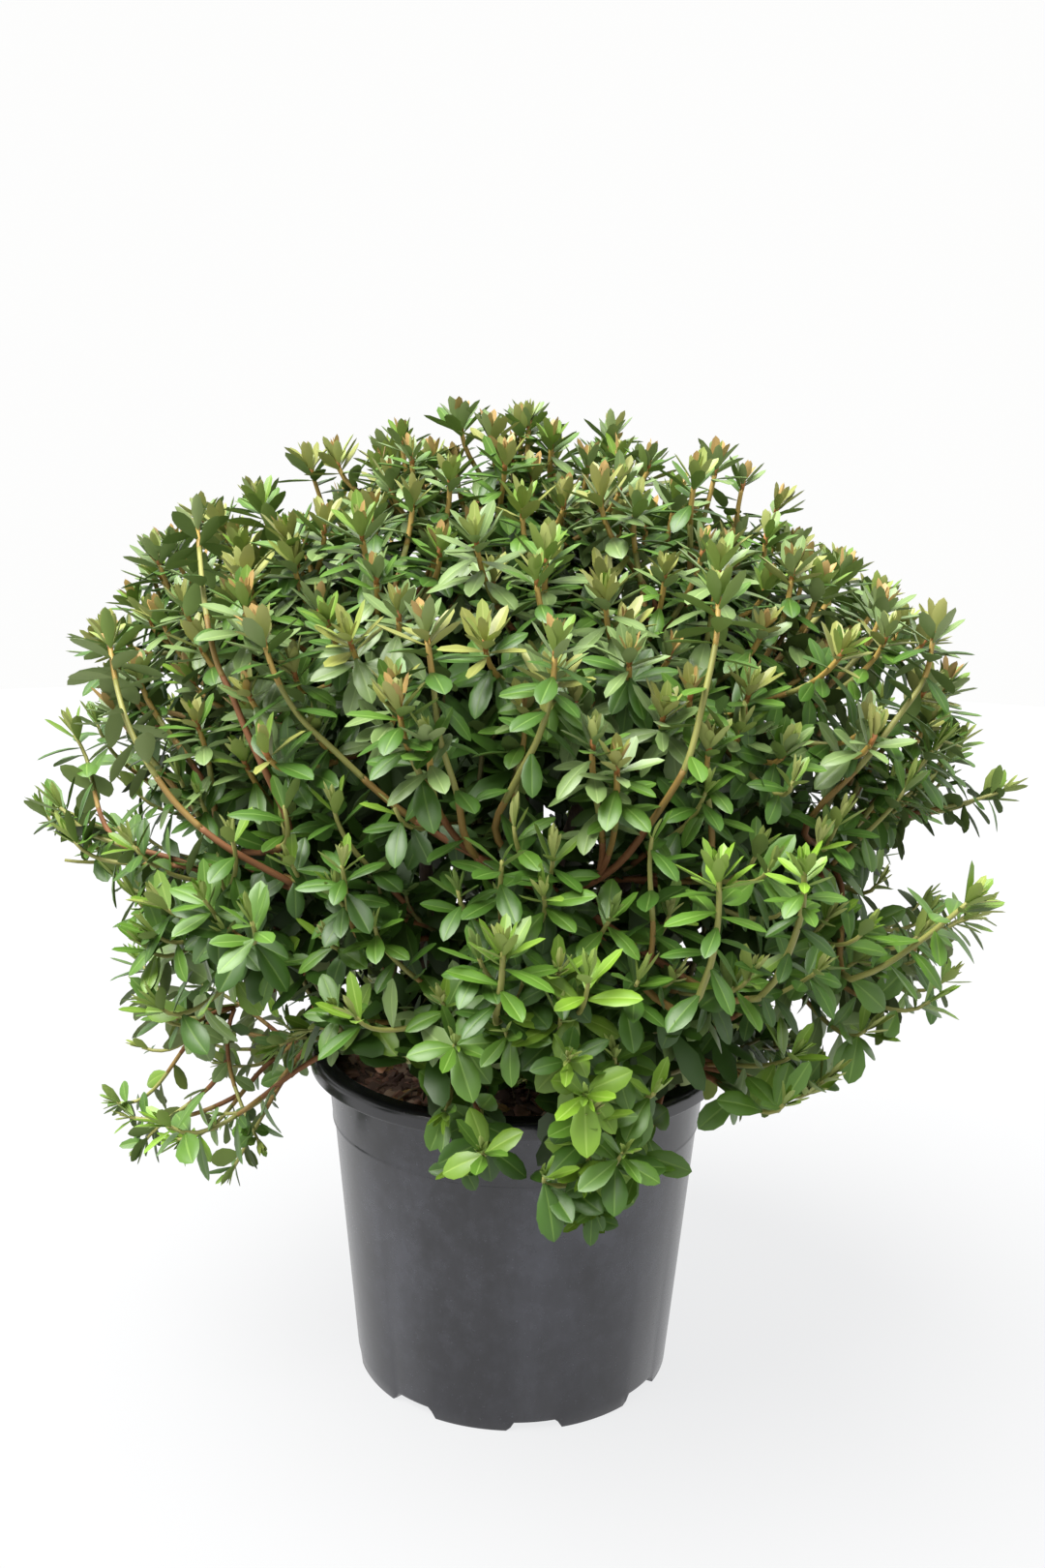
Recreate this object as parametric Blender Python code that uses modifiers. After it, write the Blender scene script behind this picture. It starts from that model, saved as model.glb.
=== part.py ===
"""Evergreen azalea shrub growing in a round black nursery pot.

The plant and its pot are one rigid assembly: pot, growing medium, a short trunk,
boughs and side boughs, and masses of foliage that each keep to their own share of
the crown.  Metres, +Z up.  The origin is the middle of the pot's flat underside and
the plant's front faces -Y.  Azimuths run anticlockwise from +X, in degrees.
"""

import math

import bmesh
import bpy
import numpy as np
from mathutils import Matrix, Vector
from mathutils.bvhtree import BVHTree

# ---------------------------------------------------------------- driving dimensions
GAP = 0.0003  # clearance between pieces that touch
CUT_CLEARANCE = GAP * 1.2  # how far a limb is swollen where it cuts the limbs it carries
WELD = 0.0000005
SEED = 11
GOLDEN_ANGLE = math.pi * (3.0 - math.sqrt(5.0))

# pot: a 20 litre container
POT_HEIGHT = 0.287
POT_SIDES = 36
FOOT_RADIUS = 0.1385
RIM_RADIUS = 0.1655  # the wall's outside just under the lip
LIP_RADIUS = 0.180
LIP_HEIGHT = 0.014
LIP_ROUNDING = 0.0055
EDGE = 0.001  # small bevels at the lip's lower edge
FOOT_BEVEL = 0.0015
WALL = 0.0025
FLOOR = 0.012
SHOULDER_HEIGHT = 0.225
SHOULDER_STEP = 0.0015
SHOULDER_SLOPE = 0.002  # the height over which the wall steps out
NOTCHES = 8
NOTCH_HEIGHT = 0.009
NOTCH_DEPTH = 0.012
NOTCH_ANGLE = 18.0
NOTCH_NARROWING = 0.82  # a notch's top width as a share of its foot's
NOTCH_FIRST_AZIMUTH = -81.5
GUSSETS = 4
GUSSET_FIRST_AZIMUTH = 205.0
GUSSET_SIZE = (0.009, 0.003, 0.012)  # out from the wall, wide, tall
GUSSET_FOOT = -0.0005  # its foot runs out just inside the wall's surface

# growing medium
MEDIUM_BELOW_RIM = 0.025
MOUND_HEIGHT = 0.006
MOUND_FLAT_RADIUS = 0.038
MOUND_SLOPE_HEIGHT = 0.7  # share of the mound's height at twice that radius
MEDIUM_EDGE = 0.035  # from the wall in, where the medium lies level
MEDIUM_SAG = 0.002  # how much lower it lies at the wall

# trunk
TRUNK_SIDES = 15
TRUNK_HEIGHT = 0.066
TRUNK_RADIUS = 0.0170
TRUNK_TIP_RADIUS = 0.0140
FLARE_RADIUS = 0.028
FLARE_ROOTS = 5
FLARE_FLUTING = 0.22
FLARE_FADE = 4  # power by which the flare fades up the trunk
TRUNK_LEVELS = (0.1, 0.25, 0.5, 0.75)
TRUNK_LEAN = (0.006, -0.003)  # how far the fork stands to the side of the foot

# crown: how far its furthest leaves reach from its middle, by elevation
CROWN_MIDDLE = Vector((0.0, 0.0, 0.44))
CROWN_REACH = {-60: 0.24, -45: 0.315, -30: 0.385, -10: 0.410, 12: 0.433, 40: 0.430, 65: 0.402, 90: 0.408}
LOBE_SIZE = 0.025
LOBES = 5
LOBE_TWIST = 15.0  # degrees of elevation that turn the lobes by one radian

# masses of foliage, ring by ring: how many, elevation, azimuth of the first
RINGS = {
    "crown_top": (1, 90.0, 0.0),
    "upper": (5, 47.0, -62.0),
    "middle": (6, 10.0, -84.0),
    "skirt": (6, -27.0, -59.0),
}
MASS_DEPTH = 0.70  # where a mass's middle lies between the crown's middle and its reach
ENTRY_DEPTH = 0.50  # where its bough ends and its own stem begins
CORE_DEPTH = 0.64
CORE_DEPTHS = (0.56, 0.76)  # no corner of a core is nearer the crown's middle, or further
CORE_RADIUS = 0.080
CORE_IRREGULARITY = (0.75, 1.1)
CORE_STEP = 0.002
CORE_MARGINS = (0.004, 0.006, 0.008)  # to the cell's walls, to limbs, above the pot
CELL_MARGIN = 0.0015
LIMB_MARGIN = 0.002
POT_MARGIN = 0.003

# boughs
BOUGH_SIDES = 6
BOUGH_RADIUS = 0.0078
BOUGH_TIP_RADIUS = 0.0056
SIDE_BOUGH_RADIUS = 0.0058
SIDE_BOUGH_TIP_RADIUS = 0.0046
LEADER_STOUTNESS = 1.15  # the middle bough's foot against the others
BOUGH_POINTS = 6
BEND = 0.38  # length of a curve's handles as a share of its span
# main boughs leave the trunk in turn at two heights: share of its height, steepness
MAIN_FORKS = ((0.62, 0.85), (0.30, 0.55))
MAIN_ARRIVAL = 0.55  # steepness where a main bough enters its mass
# side boughs leave the main boughs: share of its length, steepness at start and end
SIDE_FORKS = {"upper": (0.42, 0.64, 0.48), "skirt": (0.24, 0.02, 0.015)}

# twigs and leaves, larger than life because they stand for many
SHOOTS = 166  # evenly spaced shoot tips over the whole crown
TIP_DEPTHS = ((0.82, 0.90), (0.93, 1.0), (0.93, 1.0))  # a third of the shoots end deeper
TIP_SCATTER = (7.0, 4.0)  # degrees of azimuth and elevation
TWIG_TIP_RADIUS = 0.0030
TWIG_FOOT = 0.62  # a twig's foot against the radius of what it leaves
TWIG_TAPER = 0.8
TWIG_LIFT = 0.55  # how much a shoot turns upwards
STEM_STRAIGHT = 0.010
STEM_TAPER = 0.85
HUB_PLACE = 0.45  # where a stem ends between its collar and the mass's middle
PATH_WEIGHT = 0.35  # how much a twig minds the length of the way back to its bough
LEAF_LENGTH = 0.085
LEAF_WIDTH = 0.050
LEAF_THICKNESS = 0.0024
LEAF_DROOP = 0.10  # of its length
LEAF_CREST = 0.42  # where its thickest point lies along it
LEAF_BASE_WIDTH = 0.34
LEAF_WIDENING = 0.82
LEAF_SINK = 0.001  # how deep its root lies in the twig
LEAF_SIZES = (0.86, 1.08)
LEAVES_PER_SHOOT = 3
LEAVES_PER_CORE = 6
LEAF_SPREAD = 52.0  # degrees between a leaf and its shoot
SPREAD_SCATTER = (-12.0, 16.0)
TURN_SCATTER = 15.0
WHORL_START = 0.004  # from the shoot's tip back to its first leaf
WHORL_STEP = 0.006
ROOT_SHARE = 0.12  # this share of a leaf, its root, may touch its twig
CORE_LEAF_ROOT = 0.5  # share of the core's radius
CORE_LEAF_SPREADS = (15.0, 60.0)
TRIES = 12

MATERIALS = {
    # colour, roughness
    "pot": ((0.018, 0.019, 0.022), 0.42),
    "medium": ((0.055, 0.026, 0.017), 0.95),
    "bark": ((0.130, 0.067, 0.040), 0.85),
    "foliage": ((0.060, 0.135, 0.040), 0.50),
}

rng = np.random.default_rng(SEED)


# ---------------------------------------------------------------- scene helpers
def clear_scene():
    for thing in list(bpy.data.objects):
        bpy.data.objects.remove(thing)


def new_collection(name):
    collection = bpy.data.collections.new(name)
    bpy.context.scene.collection.children.link(collection)
    return collection


def dress(thing, family):
    """Gives an object a Principled material of its own."""
    colour, roughness = MATERIALS[family]
    material = bpy.data.materials.new(thing.name)
    material.use_nodes = True
    shader = material.node_tree.nodes["Principled BSDF"]
    shader.inputs["Base Color"].default_value = (*colour, 1.0)
    shader.inputs["Roughness"].default_value = roughness
    shader.inputs["Metallic"].default_value = 0.0
    thing.data.materials.clear()
    thing.data.materials.append(material)


def add_object(name, mesh, collection):
    thing = bpy.data.objects.new(name, mesh)
    collection.objects.link(thing)
    return thing


def mesh_from(bm, name):
    mesh = bpy.data.meshes.new(name)
    bm.to_mesh(mesh)
    bm.free()
    return mesh


def shade_round(mesh, sharp_degrees=40.0):
    mesh.shade_smooth()
    mesh.set_sharp_from_angle(angle=math.radians(sharp_degrees))


def turned(name, profile, steps, collection):
    """A profile of (radius, height) points turned about the Z axis."""
    bm = bmesh.new()
    points = [bm.verts.new((radius, 0.0, height)) for radius, height in profile]
    for a, b in zip(points, points[1:]):
        bm.edges.new((a, b))
    thing = add_object(name, mesh_from(bm, name), collection)
    screw = thing.modifiers.new("turn", "SCREW")
    screw.steps = steps
    screw.render_steps = steps
    screw.use_merge_vertices = True
    screw.merge_threshold = 0.00005
    return thing


def boolean(thing, operation, operand, solver="EXACT"):
    """Adds a Boolean with another object or with all objects of a collection."""
    modifier = thing.modifiers.new(operation.lower(), "BOOLEAN")
    modifier.operation = operation
    modifier.solver = solver
    if isinstance(operand, bpy.types.Collection):
        modifier.operand_type = "COLLECTION"
        modifier.collection = operand
    else:
        modifier.object = operand
    return modifier


def evaluated_mesh(thing):
    """A new mesh of what an object's curve or modifiers make, its seams welded."""
    graph = bpy.context.evaluated_depsgraph_get()
    mesh = bpy.data.meshes.new_from_object(thing.evaluated_get(graph))
    bm = bmesh.new()
    bm.from_mesh(mesh)
    bmesh.ops.remove_doubles(bm, verts=bm.verts, dist=WELD)
    bm.to_mesh(mesh)
    bm.free()
    return mesh


def surface_of(mesh):
    """A mesh as a tree that can be tested for crossings."""
    return BVHTree.FromPolygons([v.co for v in mesh.vertices], [tuple(f.vertices) for f in mesh.polygons])


def as_cutter(thing):
    thing.hide_render = True
    thing.display_type = "WIRE"
    return thing


# ---------------------------------------------------------------- places in the crown
def on_sphere(azimuth, elevation):
    """Unit vector; both angles in degrees."""
    a = math.radians(azimuth)
    e = math.radians(elevation)
    return Vector((math.cos(a) * math.cos(e), math.sin(a) * math.cos(e), math.sin(e)))


def crown_reach(direction):
    """Distance from the crown's middle to its outside along a unit vector."""
    elevation = math.degrees(math.asin(max(-1.0, min(1.0, direction.z))))
    azimuth = math.atan2(direction.y, direction.x)
    reach = float(np.interp(elevation, list(CROWN_REACH), list(CROWN_REACH.values())))
    lobe = math.cos(LOBES * azimuth + elevation / LOBE_TWIST) * math.cos(math.radians(elevation))
    return reach * (1.0 + LOBE_SIZE * lobe)


def in_crown(direction, depth):
    return CROWN_MIDDLE + direction * crown_reach(direction) * depth


def depth_of(point):
    offset = point - CROWN_MIDDLE
    return offset.length / crown_reach(offset.normalized())


def curve_between(start, start_direction, end, end_direction, count):
    """Points of a smooth curve that leaves and arrives along the given directions."""
    handle = (end - start).length * BEND
    a = start + start_direction.normalized() * handle
    b = end - end_direction.normalized() * handle
    points = []
    for i in range(count):
        t = i / (count - 1)
        u = 1.0 - t
        points.append(start * u**3 + a * 3 * u * u * t + b * 3 * u * t * t + end * t**3)
    return points


# ---------------------------------------------------------------- pot and its filling
def wall_radius(height):
    """Outside of the pot's wall, above the shoulder a little wider."""
    share = height / (POT_HEIGHT - LIP_HEIGHT)
    radius = FOOT_RADIUS + (RIM_RADIUS - FOOT_RADIUS - SHOULDER_STEP) * share
    return radius + (SHOULDER_STEP if height > SHOULDER_HEIGHT else 0.0)


def inner_radius(height):
    """Inside of the pot's wall above the shoulder, where it runs straight to the lip."""
    low = wall_radius(SHOULDER_HEIGHT) - WALL
    share = (height - SHOULDER_HEIGHT) / (POT_HEIGHT - LIP_ROUNDING - SHOULDER_HEIGHT)
    return low + (RIM_RADIUS - WALL - low) * share


def quarter_arc(middle, radius, first, last, count):
    angles = [math.radians(first + (last - first) * i / (count - 1)) for i in range(count)]
    return [(middle[0] + radius * math.cos(a), middle[1] + radius * math.sin(a)) for a in angles]


def make_pot(parts, cutters):
    inside = [(0.0, FLOOR), (wall_radius(FLOOR) - WALL, FLOOR)]
    inside.append((wall_radius(SHOULDER_HEIGHT) - WALL, SHOULDER_HEIGHT))
    inside.append((RIM_RADIUS - WALL, POT_HEIGHT - LIP_ROUNDING))
    inner_arc = quarter_arc(
        (RIM_RADIUS - WALL + LIP_ROUNDING / 2, POT_HEIGHT - LIP_ROUNDING / 2),
        LIP_ROUNDING / 2, 180.0, 90.0, 3,
    )
    outer_arc = quarter_arc(
        (LIP_RADIUS - LIP_ROUNDING, POT_HEIGHT - LIP_ROUNDING), LIP_ROUNDING, 90.0, 0.0, 4,
    )
    lip_foot = [
        (LIP_RADIUS, POT_HEIGHT - LIP_HEIGHT + EDGE),
        (LIP_RADIUS - EDGE, POT_HEIGHT - LIP_HEIGHT),
        (RIM_RADIUS, POT_HEIGHT - LIP_HEIGHT),
    ]
    wall = [
        (wall_radius(SHOULDER_HEIGHT) + SHOULDER_STEP, SHOULDER_HEIGHT + SHOULDER_SLOPE),
        (wall_radius(SHOULDER_HEIGHT), SHOULDER_HEIGHT),
        (FOOT_RADIUS, FOOT_BEVEL),
        (FOOT_RADIUS - FOOT_BEVEL, 0.0),
        (0.0, 0.0),
    ]
    profile = inside + inner_arc + outer_arc + lip_foot + wall
    pot = turned("pot", profile, POT_SIDES, parts)
    dress(pot, "pot")
    for i in range(NOTCHES):
        azimuth = NOTCH_FIRST_AZIMUTH + 360.0 / NOTCHES * i
        notch = wedge(f"foot_notch_{i + 1}", notch_corner, azimuth, cutters)
        boolean(pot, "DIFFERENCE", notch)
    for i in range(GUSSETS):
        azimuth = GUSSET_FIRST_AZIMUTH + 360.0 / GUSSETS * i
        gusset = wedge(f"lip_gusset_{i + 1}", gusset_corner, azimuth, cutters)
        boolean(pot, "UNION", gusset)
    return pot


def wedge(name, corner_place, azimuth, cutters):
    """A cube whose corners are moved by a rule, then turned about the pot's axis."""
    bm = bmesh.new()
    bmesh.ops.create_cube(bm, size=1.0)
    for corner in bm.verts:
        corner.co = corner_place(corner.co.x > 0.0, corner.co.y, corner.co.z > 0.0)
    bmesh.ops.rotate(bm, verts=bm.verts, matrix=Matrix.Rotation(math.radians(azimuth), 3, "Z"))
    return as_cutter(add_object(name, mesh_from(bm, name), cutters))


def notch_corner(outer, side, upper):
    """A notch in the pot's foot, narrower at its top."""
    width = 2.0 * FOOT_RADIUS * math.sin(math.radians(NOTCH_ANGLE / 2))
    x = FOOT_RADIUS + (NOTCH_DEPTH if outer else -NOTCH_DEPTH)
    y = side * width * (NOTCH_NARROWING if upper else 1.0)
    return (x, y, NOTCH_HEIGHT if upper else -NOTCH_HEIGHT)


def gusset_corner(outer, side, upper):
    """A small web under the lip that runs out downwards along the wall."""
    out, wide, tall = GUSSET_SIZE
    x = RIM_RADIUS - WALL / 2
    if outer:
        x = RIM_RADIUS + (out if upper else GUSSET_FOOT)
    z = POT_HEIGHT - LIP_HEIGHT / 2 if upper else POT_HEIGHT - LIP_HEIGHT - tall
    return (x, side * wide, z)


def make_medium(parts):
    top = POT_HEIGHT - MEDIUM_BELOW_RIM
    clear = WALL + GAP * 2
    profile = [
        (0.0, top + MOUND_HEIGHT),
        (MOUND_FLAT_RADIUS, top + MOUND_HEIGHT),
        (MOUND_FLAT_RADIUS * 2, top + MOUND_HEIGHT * MOUND_SLOPE_HEIGHT),
        (wall_radius(top) - MEDIUM_EDGE, top),
        (inner_radius(top - MEDIUM_SAG) - GAP * 2, top - MEDIUM_SAG),
        (wall_radius(SHOULDER_HEIGHT) - clear, SHOULDER_HEIGHT),
        (wall_radius(FLOOR) - clear, FLOOR + GAP),
        (0.0, FLOOR + GAP),
    ]
    medium = turned("growing_medium", profile, POT_SIDES, parts)
    dress(medium, "medium")


# ---------------------------------------------------------------- trunk and boughs
TRUNK_FOOT = POT_HEIGHT - MEDIUM_BELOW_RIM + MOUND_HEIGHT + GAP


def trunk_axis(share):
    """Point on the trunk's leaning axis, from its foot (0) to its fork (1)."""
    lean_x, lean_y = TRUNK_LEAN
    return Vector((lean_x * share**1.5, lean_y * share**1.5, TRUNK_FOOT + TRUNK_HEIGHT * share))


def trunk_radius(share, azimuth=0.0):
    taper = TRUNK_RADIUS + (TRUNK_TIP_RADIUS - TRUNK_RADIUS) * share
    flare = (FLARE_RADIUS - TRUNK_RADIUS) * (1.0 - share) ** FLARE_FADE
    fluting = 1.0 - FLARE_FLUTING + FLARE_FLUTING * math.cos(FLARE_ROOTS * azimuth)
    return taper + flare * fluting


def make_trunk(parts):
    bm = bmesh.new()
    bmesh.ops.create_cone(
        bm, cap_ends=True, segments=TRUNK_SIDES, radius1=1.0, radius2=1.0, depth=1.0,
        matrix=Matrix.Translation((0.0, 0.0, 0.5)),
    )
    for level in TRUNK_LEVELS:
        everything = list(bm.verts) + list(bm.edges) + list(bm.faces)
        bmesh.ops.bisect_plane(bm, geom=everything, plane_co=(0, 0, level), plane_no=(0, 0, 1))
    for point in bm.verts:
        azimuth = math.atan2(point.co.y, point.co.x)
        share = point.co.z
        radius = trunk_radius(share, azimuth)
        outward = Vector((math.cos(azimuth), math.sin(azimuth), 0.0))
        point.co = trunk_axis(share) + outward * radius
    mesh = mesh_from(bm, "trunk")
    shade_round(mesh)
    trunk = add_object("trunk", mesh, parts)
    dress(trunk, "bark")


def tube_mesh(name, points, radii, sides):
    """A closed tapering tube along a line of points."""
    data = bpy.data.curves.new(name, "CURVE")
    data.dimensions = "3D"
    data.use_fill_caps = True
    if sides == 3:
        data.bevel_mode = "OBJECT"
        data.bevel_object = bpy.data.objects["twig_section"]
    else:
        data.bevel_depth = 1.0
        data.bevel_resolution = sides // 2 - 2
    spline = data.splines.new("POLY")
    spline.points.add(len(points) - 1)
    for knot, point, radius in zip(spline.points, points, radii):
        knot.co = (*point, 1.0)
        knot.radius = radius
    thing = bpy.data.objects.new(name, data)
    bpy.context.scene.collection.objects.link(thing)
    bpy.context.view_layer.update()
    mesh = evaluated_mesh(thing)
    mesh.name = name
    bpy.data.objects.remove(thing)
    return mesh


class Limb:
    """A bough: its name, its line of points and its radius at each of them."""

    def __init__(self, name, points, first_radius, last_radius, parent):
        self.name = name
        self.points = points
        self.radii = list(np.linspace(first_radius, last_radius, len(points)))
        self.parent = parent

    def at(self, share):
        """Point at a share of the limb's way, counted in its points."""
        place = share * (len(self.points) - 1)
        i = min(int(place), len(self.points) - 2)
        return self.points[i].lerp(self.points[i + 1], place - i)

    def tip(self):
        return self.points[-1], (self.points[-1] - self.points[-2]).normalized()


def ring_directions(ring):
    count, elevation, first = RINGS[ring]
    return [on_sphere(first + 360.0 / count * i, elevation) for i in range(count)]


def plan_boughs():
    """The limbs by name, and for each mass of foliage the limb that carries it."""
    limbs = []
    carriers = {}
    up = Vector((0.0, 0.0, 1.0))

    start = trunk_axis(1.0) + up * GAP
    end = in_crown(up, ENTRY_DEPTH)
    line = curve_between(start, up, end, up, BOUGH_POINTS)
    leader = Limb("main_bough_top", line, BOUGH_RADIUS * LEADER_STOUTNESS, BOUGH_TIP_RADIUS, None)
    limbs.append(leader)
    carriers["crown_top_1"] = leader

    mains = []
    for i, direction in enumerate(ring_directions("middle")):
        fork, steepness = MAIN_FORKS[i % 2]
        outward = Vector((direction.x, direction.y, 0.0)).normalized()
        end = in_crown(direction, ENTRY_DEPTH)
        arrival = outward + up * MAIN_ARRIVAL
        line = curve_between(trunk_axis(fork), outward + up * steepness, end, arrival, BOUGH_POINTS)
        main = Limb(f"main_bough_{i + 1}", line, BOUGH_RADIUS, BOUGH_TIP_RADIUS, "trunk")
        mains.append(main)
        carriers[f"middle_{i + 1}"] = main
    limbs += mains

    for ring, (fork, lift, arrival) in SIDE_FORKS.items():
        free = list(mains)
        for i, direction in enumerate(ring_directions(ring)):
            main = max(free, key=lambda m: (m.points[-1] - CROWN_MIDDLE).dot(direction))
            free.remove(main)
            start = main.at(fork)
            end = in_crown(direction, ENTRY_DEPTH)
            departure = (end - start).normalized() + up * lift
            line = curve_between(start, departure, end, direction + up * arrival, BOUGH_POINTS)
            side = Limb(f"{ring}_bough_{i + 1}", line, SIDE_BOUGH_RADIUS, SIDE_BOUGH_TIP_RADIUS, main.name)
            carriers[f"{ring}_{i + 1}"] = side
            limbs.append(side)
    return limbs, carriers


def make_boughs(limbs, parts, cutters):
    """Each limb ends cleanly against its parent, which an inflated copy cuts away from it."""
    swollen = {}
    bm = bmesh.new()
    trunk = bpy.data.objects["trunk"]
    bm.from_mesh(trunk.data)
    for point in bm.verts:
        share = (point.co.z - TRUNK_FOOT) / TRUNK_HEIGHT
        axis = trunk_axis(min(max(share, 0.0), 1.0))
        outward = Vector((point.co.x - axis.x, point.co.y - axis.y, 0.0))
        point.co += outward.normalized() * CUT_CLEARANCE
    mesh = mesh_from(bm, "trunk_clearance")
    swollen["trunk"] = as_cutter(add_object(mesh.name, mesh, cutters))

    parents = {limb.parent for limb in limbs}
    for limb in limbs:
        if limb.name in parents:
            radii = [radius + CUT_CLEARANCE for radius in limb.radii]
            mesh = tube_mesh(f"{limb.name}_clearance", limb.points, radii, BOUGH_SIDES)
            swollen[limb.name] = as_cutter(add_object(mesh.name, mesh, cutters))

    for limb in limbs:
        mesh = tube_mesh(limb.name, limb.points, limb.radii, BOUGH_SIDES)
        shade_round(mesh, 70.0)
        bough = add_object(limb.name, mesh, parts)
        dress(bough, "bark")
        if limb.parent:
            boolean(bough, "DIFFERENCE", swollen[limb.parent])


# ---------------------------------------------------------------- masses of foliage
class Crown:
    """Which mass a point belongs to, and how near it comes to limbs and pot."""

    def __init__(self, limbs):
        self.names = []
        middles = []
        for ring, (count, _, _) in RINGS.items():
            for i, direction in enumerate(ring_directions(ring)):
                self.names.append(f"{ring}_{i + 1}")
                middles.append(in_crown(direction, MASS_DEPTH))
        self.middles = np.array(middles)
        points = []
        radii = []
        for limb in limbs:
            for a, b, first, last in zip(limb.points, limb.points[1:], limb.radii, limb.radii[1:]):
                for t in np.linspace(0.0, 1.0, 6):
                    points.append(a.lerp(b, t))
                    radii.append(first + (last - first) * t)
        self.limb_points = np.array(points)
        self.limb_radii = np.array(radii)

    def core_middle(self, name):
        direction = (Vector(self.middles[self.names.index(name)]) - CROWN_MIDDLE).normalized()
        return in_crown(direction, CORE_DEPTH)

    def owner(self, point):
        return self.names[int(np.argmin(((self.middles - np.array(point)) ** 2).sum(1)))]

    def in_cell(self, name, point, margin):
        """True where a point lies in a mass's own cell, a margin away from its neighbours."""
        own = self.middles[self.names.index(name)]
        others = np.array([m for m, n in zip(self.middles, self.names) if n != name])
        towards = others - own
        length = np.linalg.norm(towards, axis=1)
        beyond = ((np.array(point) - (own + others) / 2) * towards).sum(1) / length
        return bool((beyond < -margin).all())

    def clear_of_limbs(self, point, margin):
        away = np.linalg.norm(self.limb_points - np.array(point), axis=1) - self.limb_radii
        return bool(away.min() > margin)

    def clear_of_pot(self, point, margin):
        """Above the growing medium, or outside the pot's lip."""
        from_axis = math.hypot(point.x, point.y)
        if from_axis < RIM_RADIUS - WALL - margin:
            return point.z > POT_HEIGHT - MEDIUM_BELOW_RIM + MOUND_HEIGHT + margin
        return point.z > POT_HEIGHT + margin or from_axis > LIP_RADIUS + margin

    def allows(self, name, point, thickness=0.0):
        """True where a mass may reach a point with a twig or blade of some thickness."""
        inside = self.in_cell(name, point, CELL_MARGIN + thickness)
        clear = self.clear_of_limbs(point, LIMB_MARGIN + thickness)
        return inside and clear and self.clear_of_pot(point, POT_MARGIN + thickness)


def shoot_tips(crown):
    """Evenly spaced shoot tips on the crown, by mass, each set back by its leaves' length."""
    azimuth_scatter, elevation_scatter = TIP_SCATTER
    leaf_reach = LEAF_LENGTH * math.cos(math.radians(LEAF_SPREAD))
    tips = {name: [] for name in crown.names}
    for i in range(SHOOTS):
        height = 1.0 - 2.0 * (i + 0.5) / SHOOTS
        azimuth = math.degrees(GOLDEN_ANGLE * i) + rng.uniform(-azimuth_scatter, azimuth_scatter)
        elevation = math.degrees(math.asin(height)) + rng.uniform(-elevation_scatter, elevation_scatter)
        direction = on_sphere(azimuth, min(elevation, 90.0))
        depth = rng.uniform(*TIP_DEPTHS[i % 3])
        point = CROWN_MIDDLE + direction * (crown_reach(direction) * depth - leaf_reach)
        if crown.clear_of_pot(point, POT_MARGIN + TWIG_TIP_RADIUS):
            tips[crown.owner(point)].append(point)
    return tips


def leaf_mesh():
    """A pointed, obovate blade lying along +X: a low six-sided pyramid on its outline."""
    bm = bmesh.new()
    bmesh.ops.create_cone(bm, cap_ends=True, segments=6, radius1=1.0, radius2=0.0, depth=1.0)
    for point in bm.verts:
        if point.co.z > 0.0:
            point.co = (LEAF_LENGTH * LEAF_CREST, 0.0, LEAF_THICKNESS)
            continue
        share = 0.5 + 0.5 * point.co.y
        side = point.co.x / math.cos(math.radians(30.0))
        width = (LEAF_BASE_WIDTH + LEAF_WIDENING * share) * LEAF_WIDTH
        point.co = (LEAF_LENGTH * share, side * width / 2, -LEAF_DROOP * LEAF_LENGTH * share**2)
    bmesh.ops.triangulate(bm, faces=bm.faces)
    bmesh.ops.recalc_face_normals(bm, faces=bm.faces)
    return mesh_from(bm, "leaf")


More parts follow.
